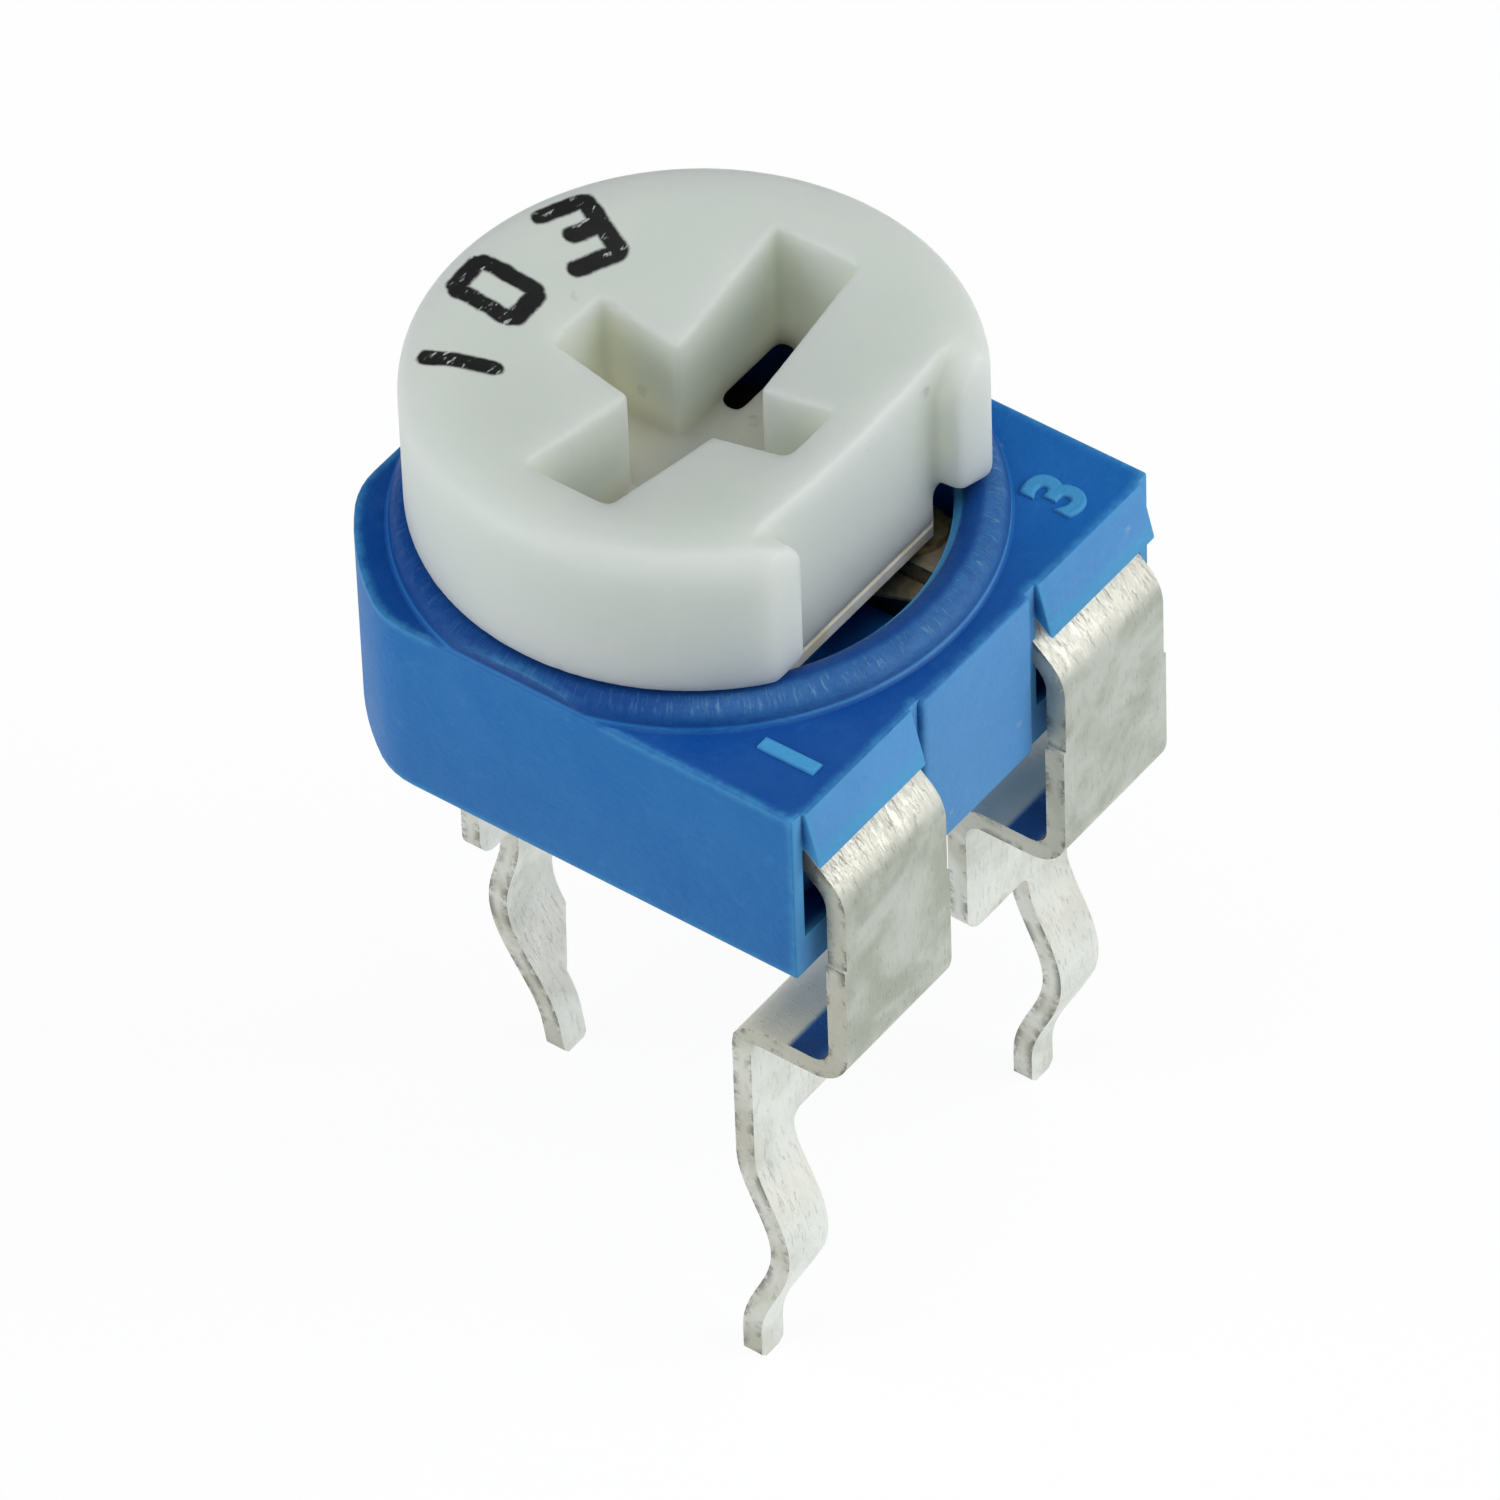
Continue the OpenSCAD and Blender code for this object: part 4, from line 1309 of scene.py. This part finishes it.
def main() -> None:
    """Builds the scene."""
    logging.basicConfig(level=logging.INFO, format="%(message)s")
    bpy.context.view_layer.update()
    Studio().build()
    blue, milk, tin, bronze = BluePolyester().make(), MilkNylon().make(), TinPlate().make(), SheetBronze().make()
    # A paler copy of the blue: painted light on the raised pin numbers.
    lit_relief_blue = BluePolyester(name="blue_relief_painted_light", deep=(0.02, 0.20, 0.56), top=(0.012, 0.19, 0.55)).make()
    Housing().build(blue, lit_relief_blue)
    Rotor().build(milk)
    dress("wiper_spring", bronze)
    Terminals().build(tin)
    for nodes, finish in INNER_FINISHES.items():
        material = finish.make()
        for node in nodes:
            dress(node, material)


if __name__ == "__main__":
    main()
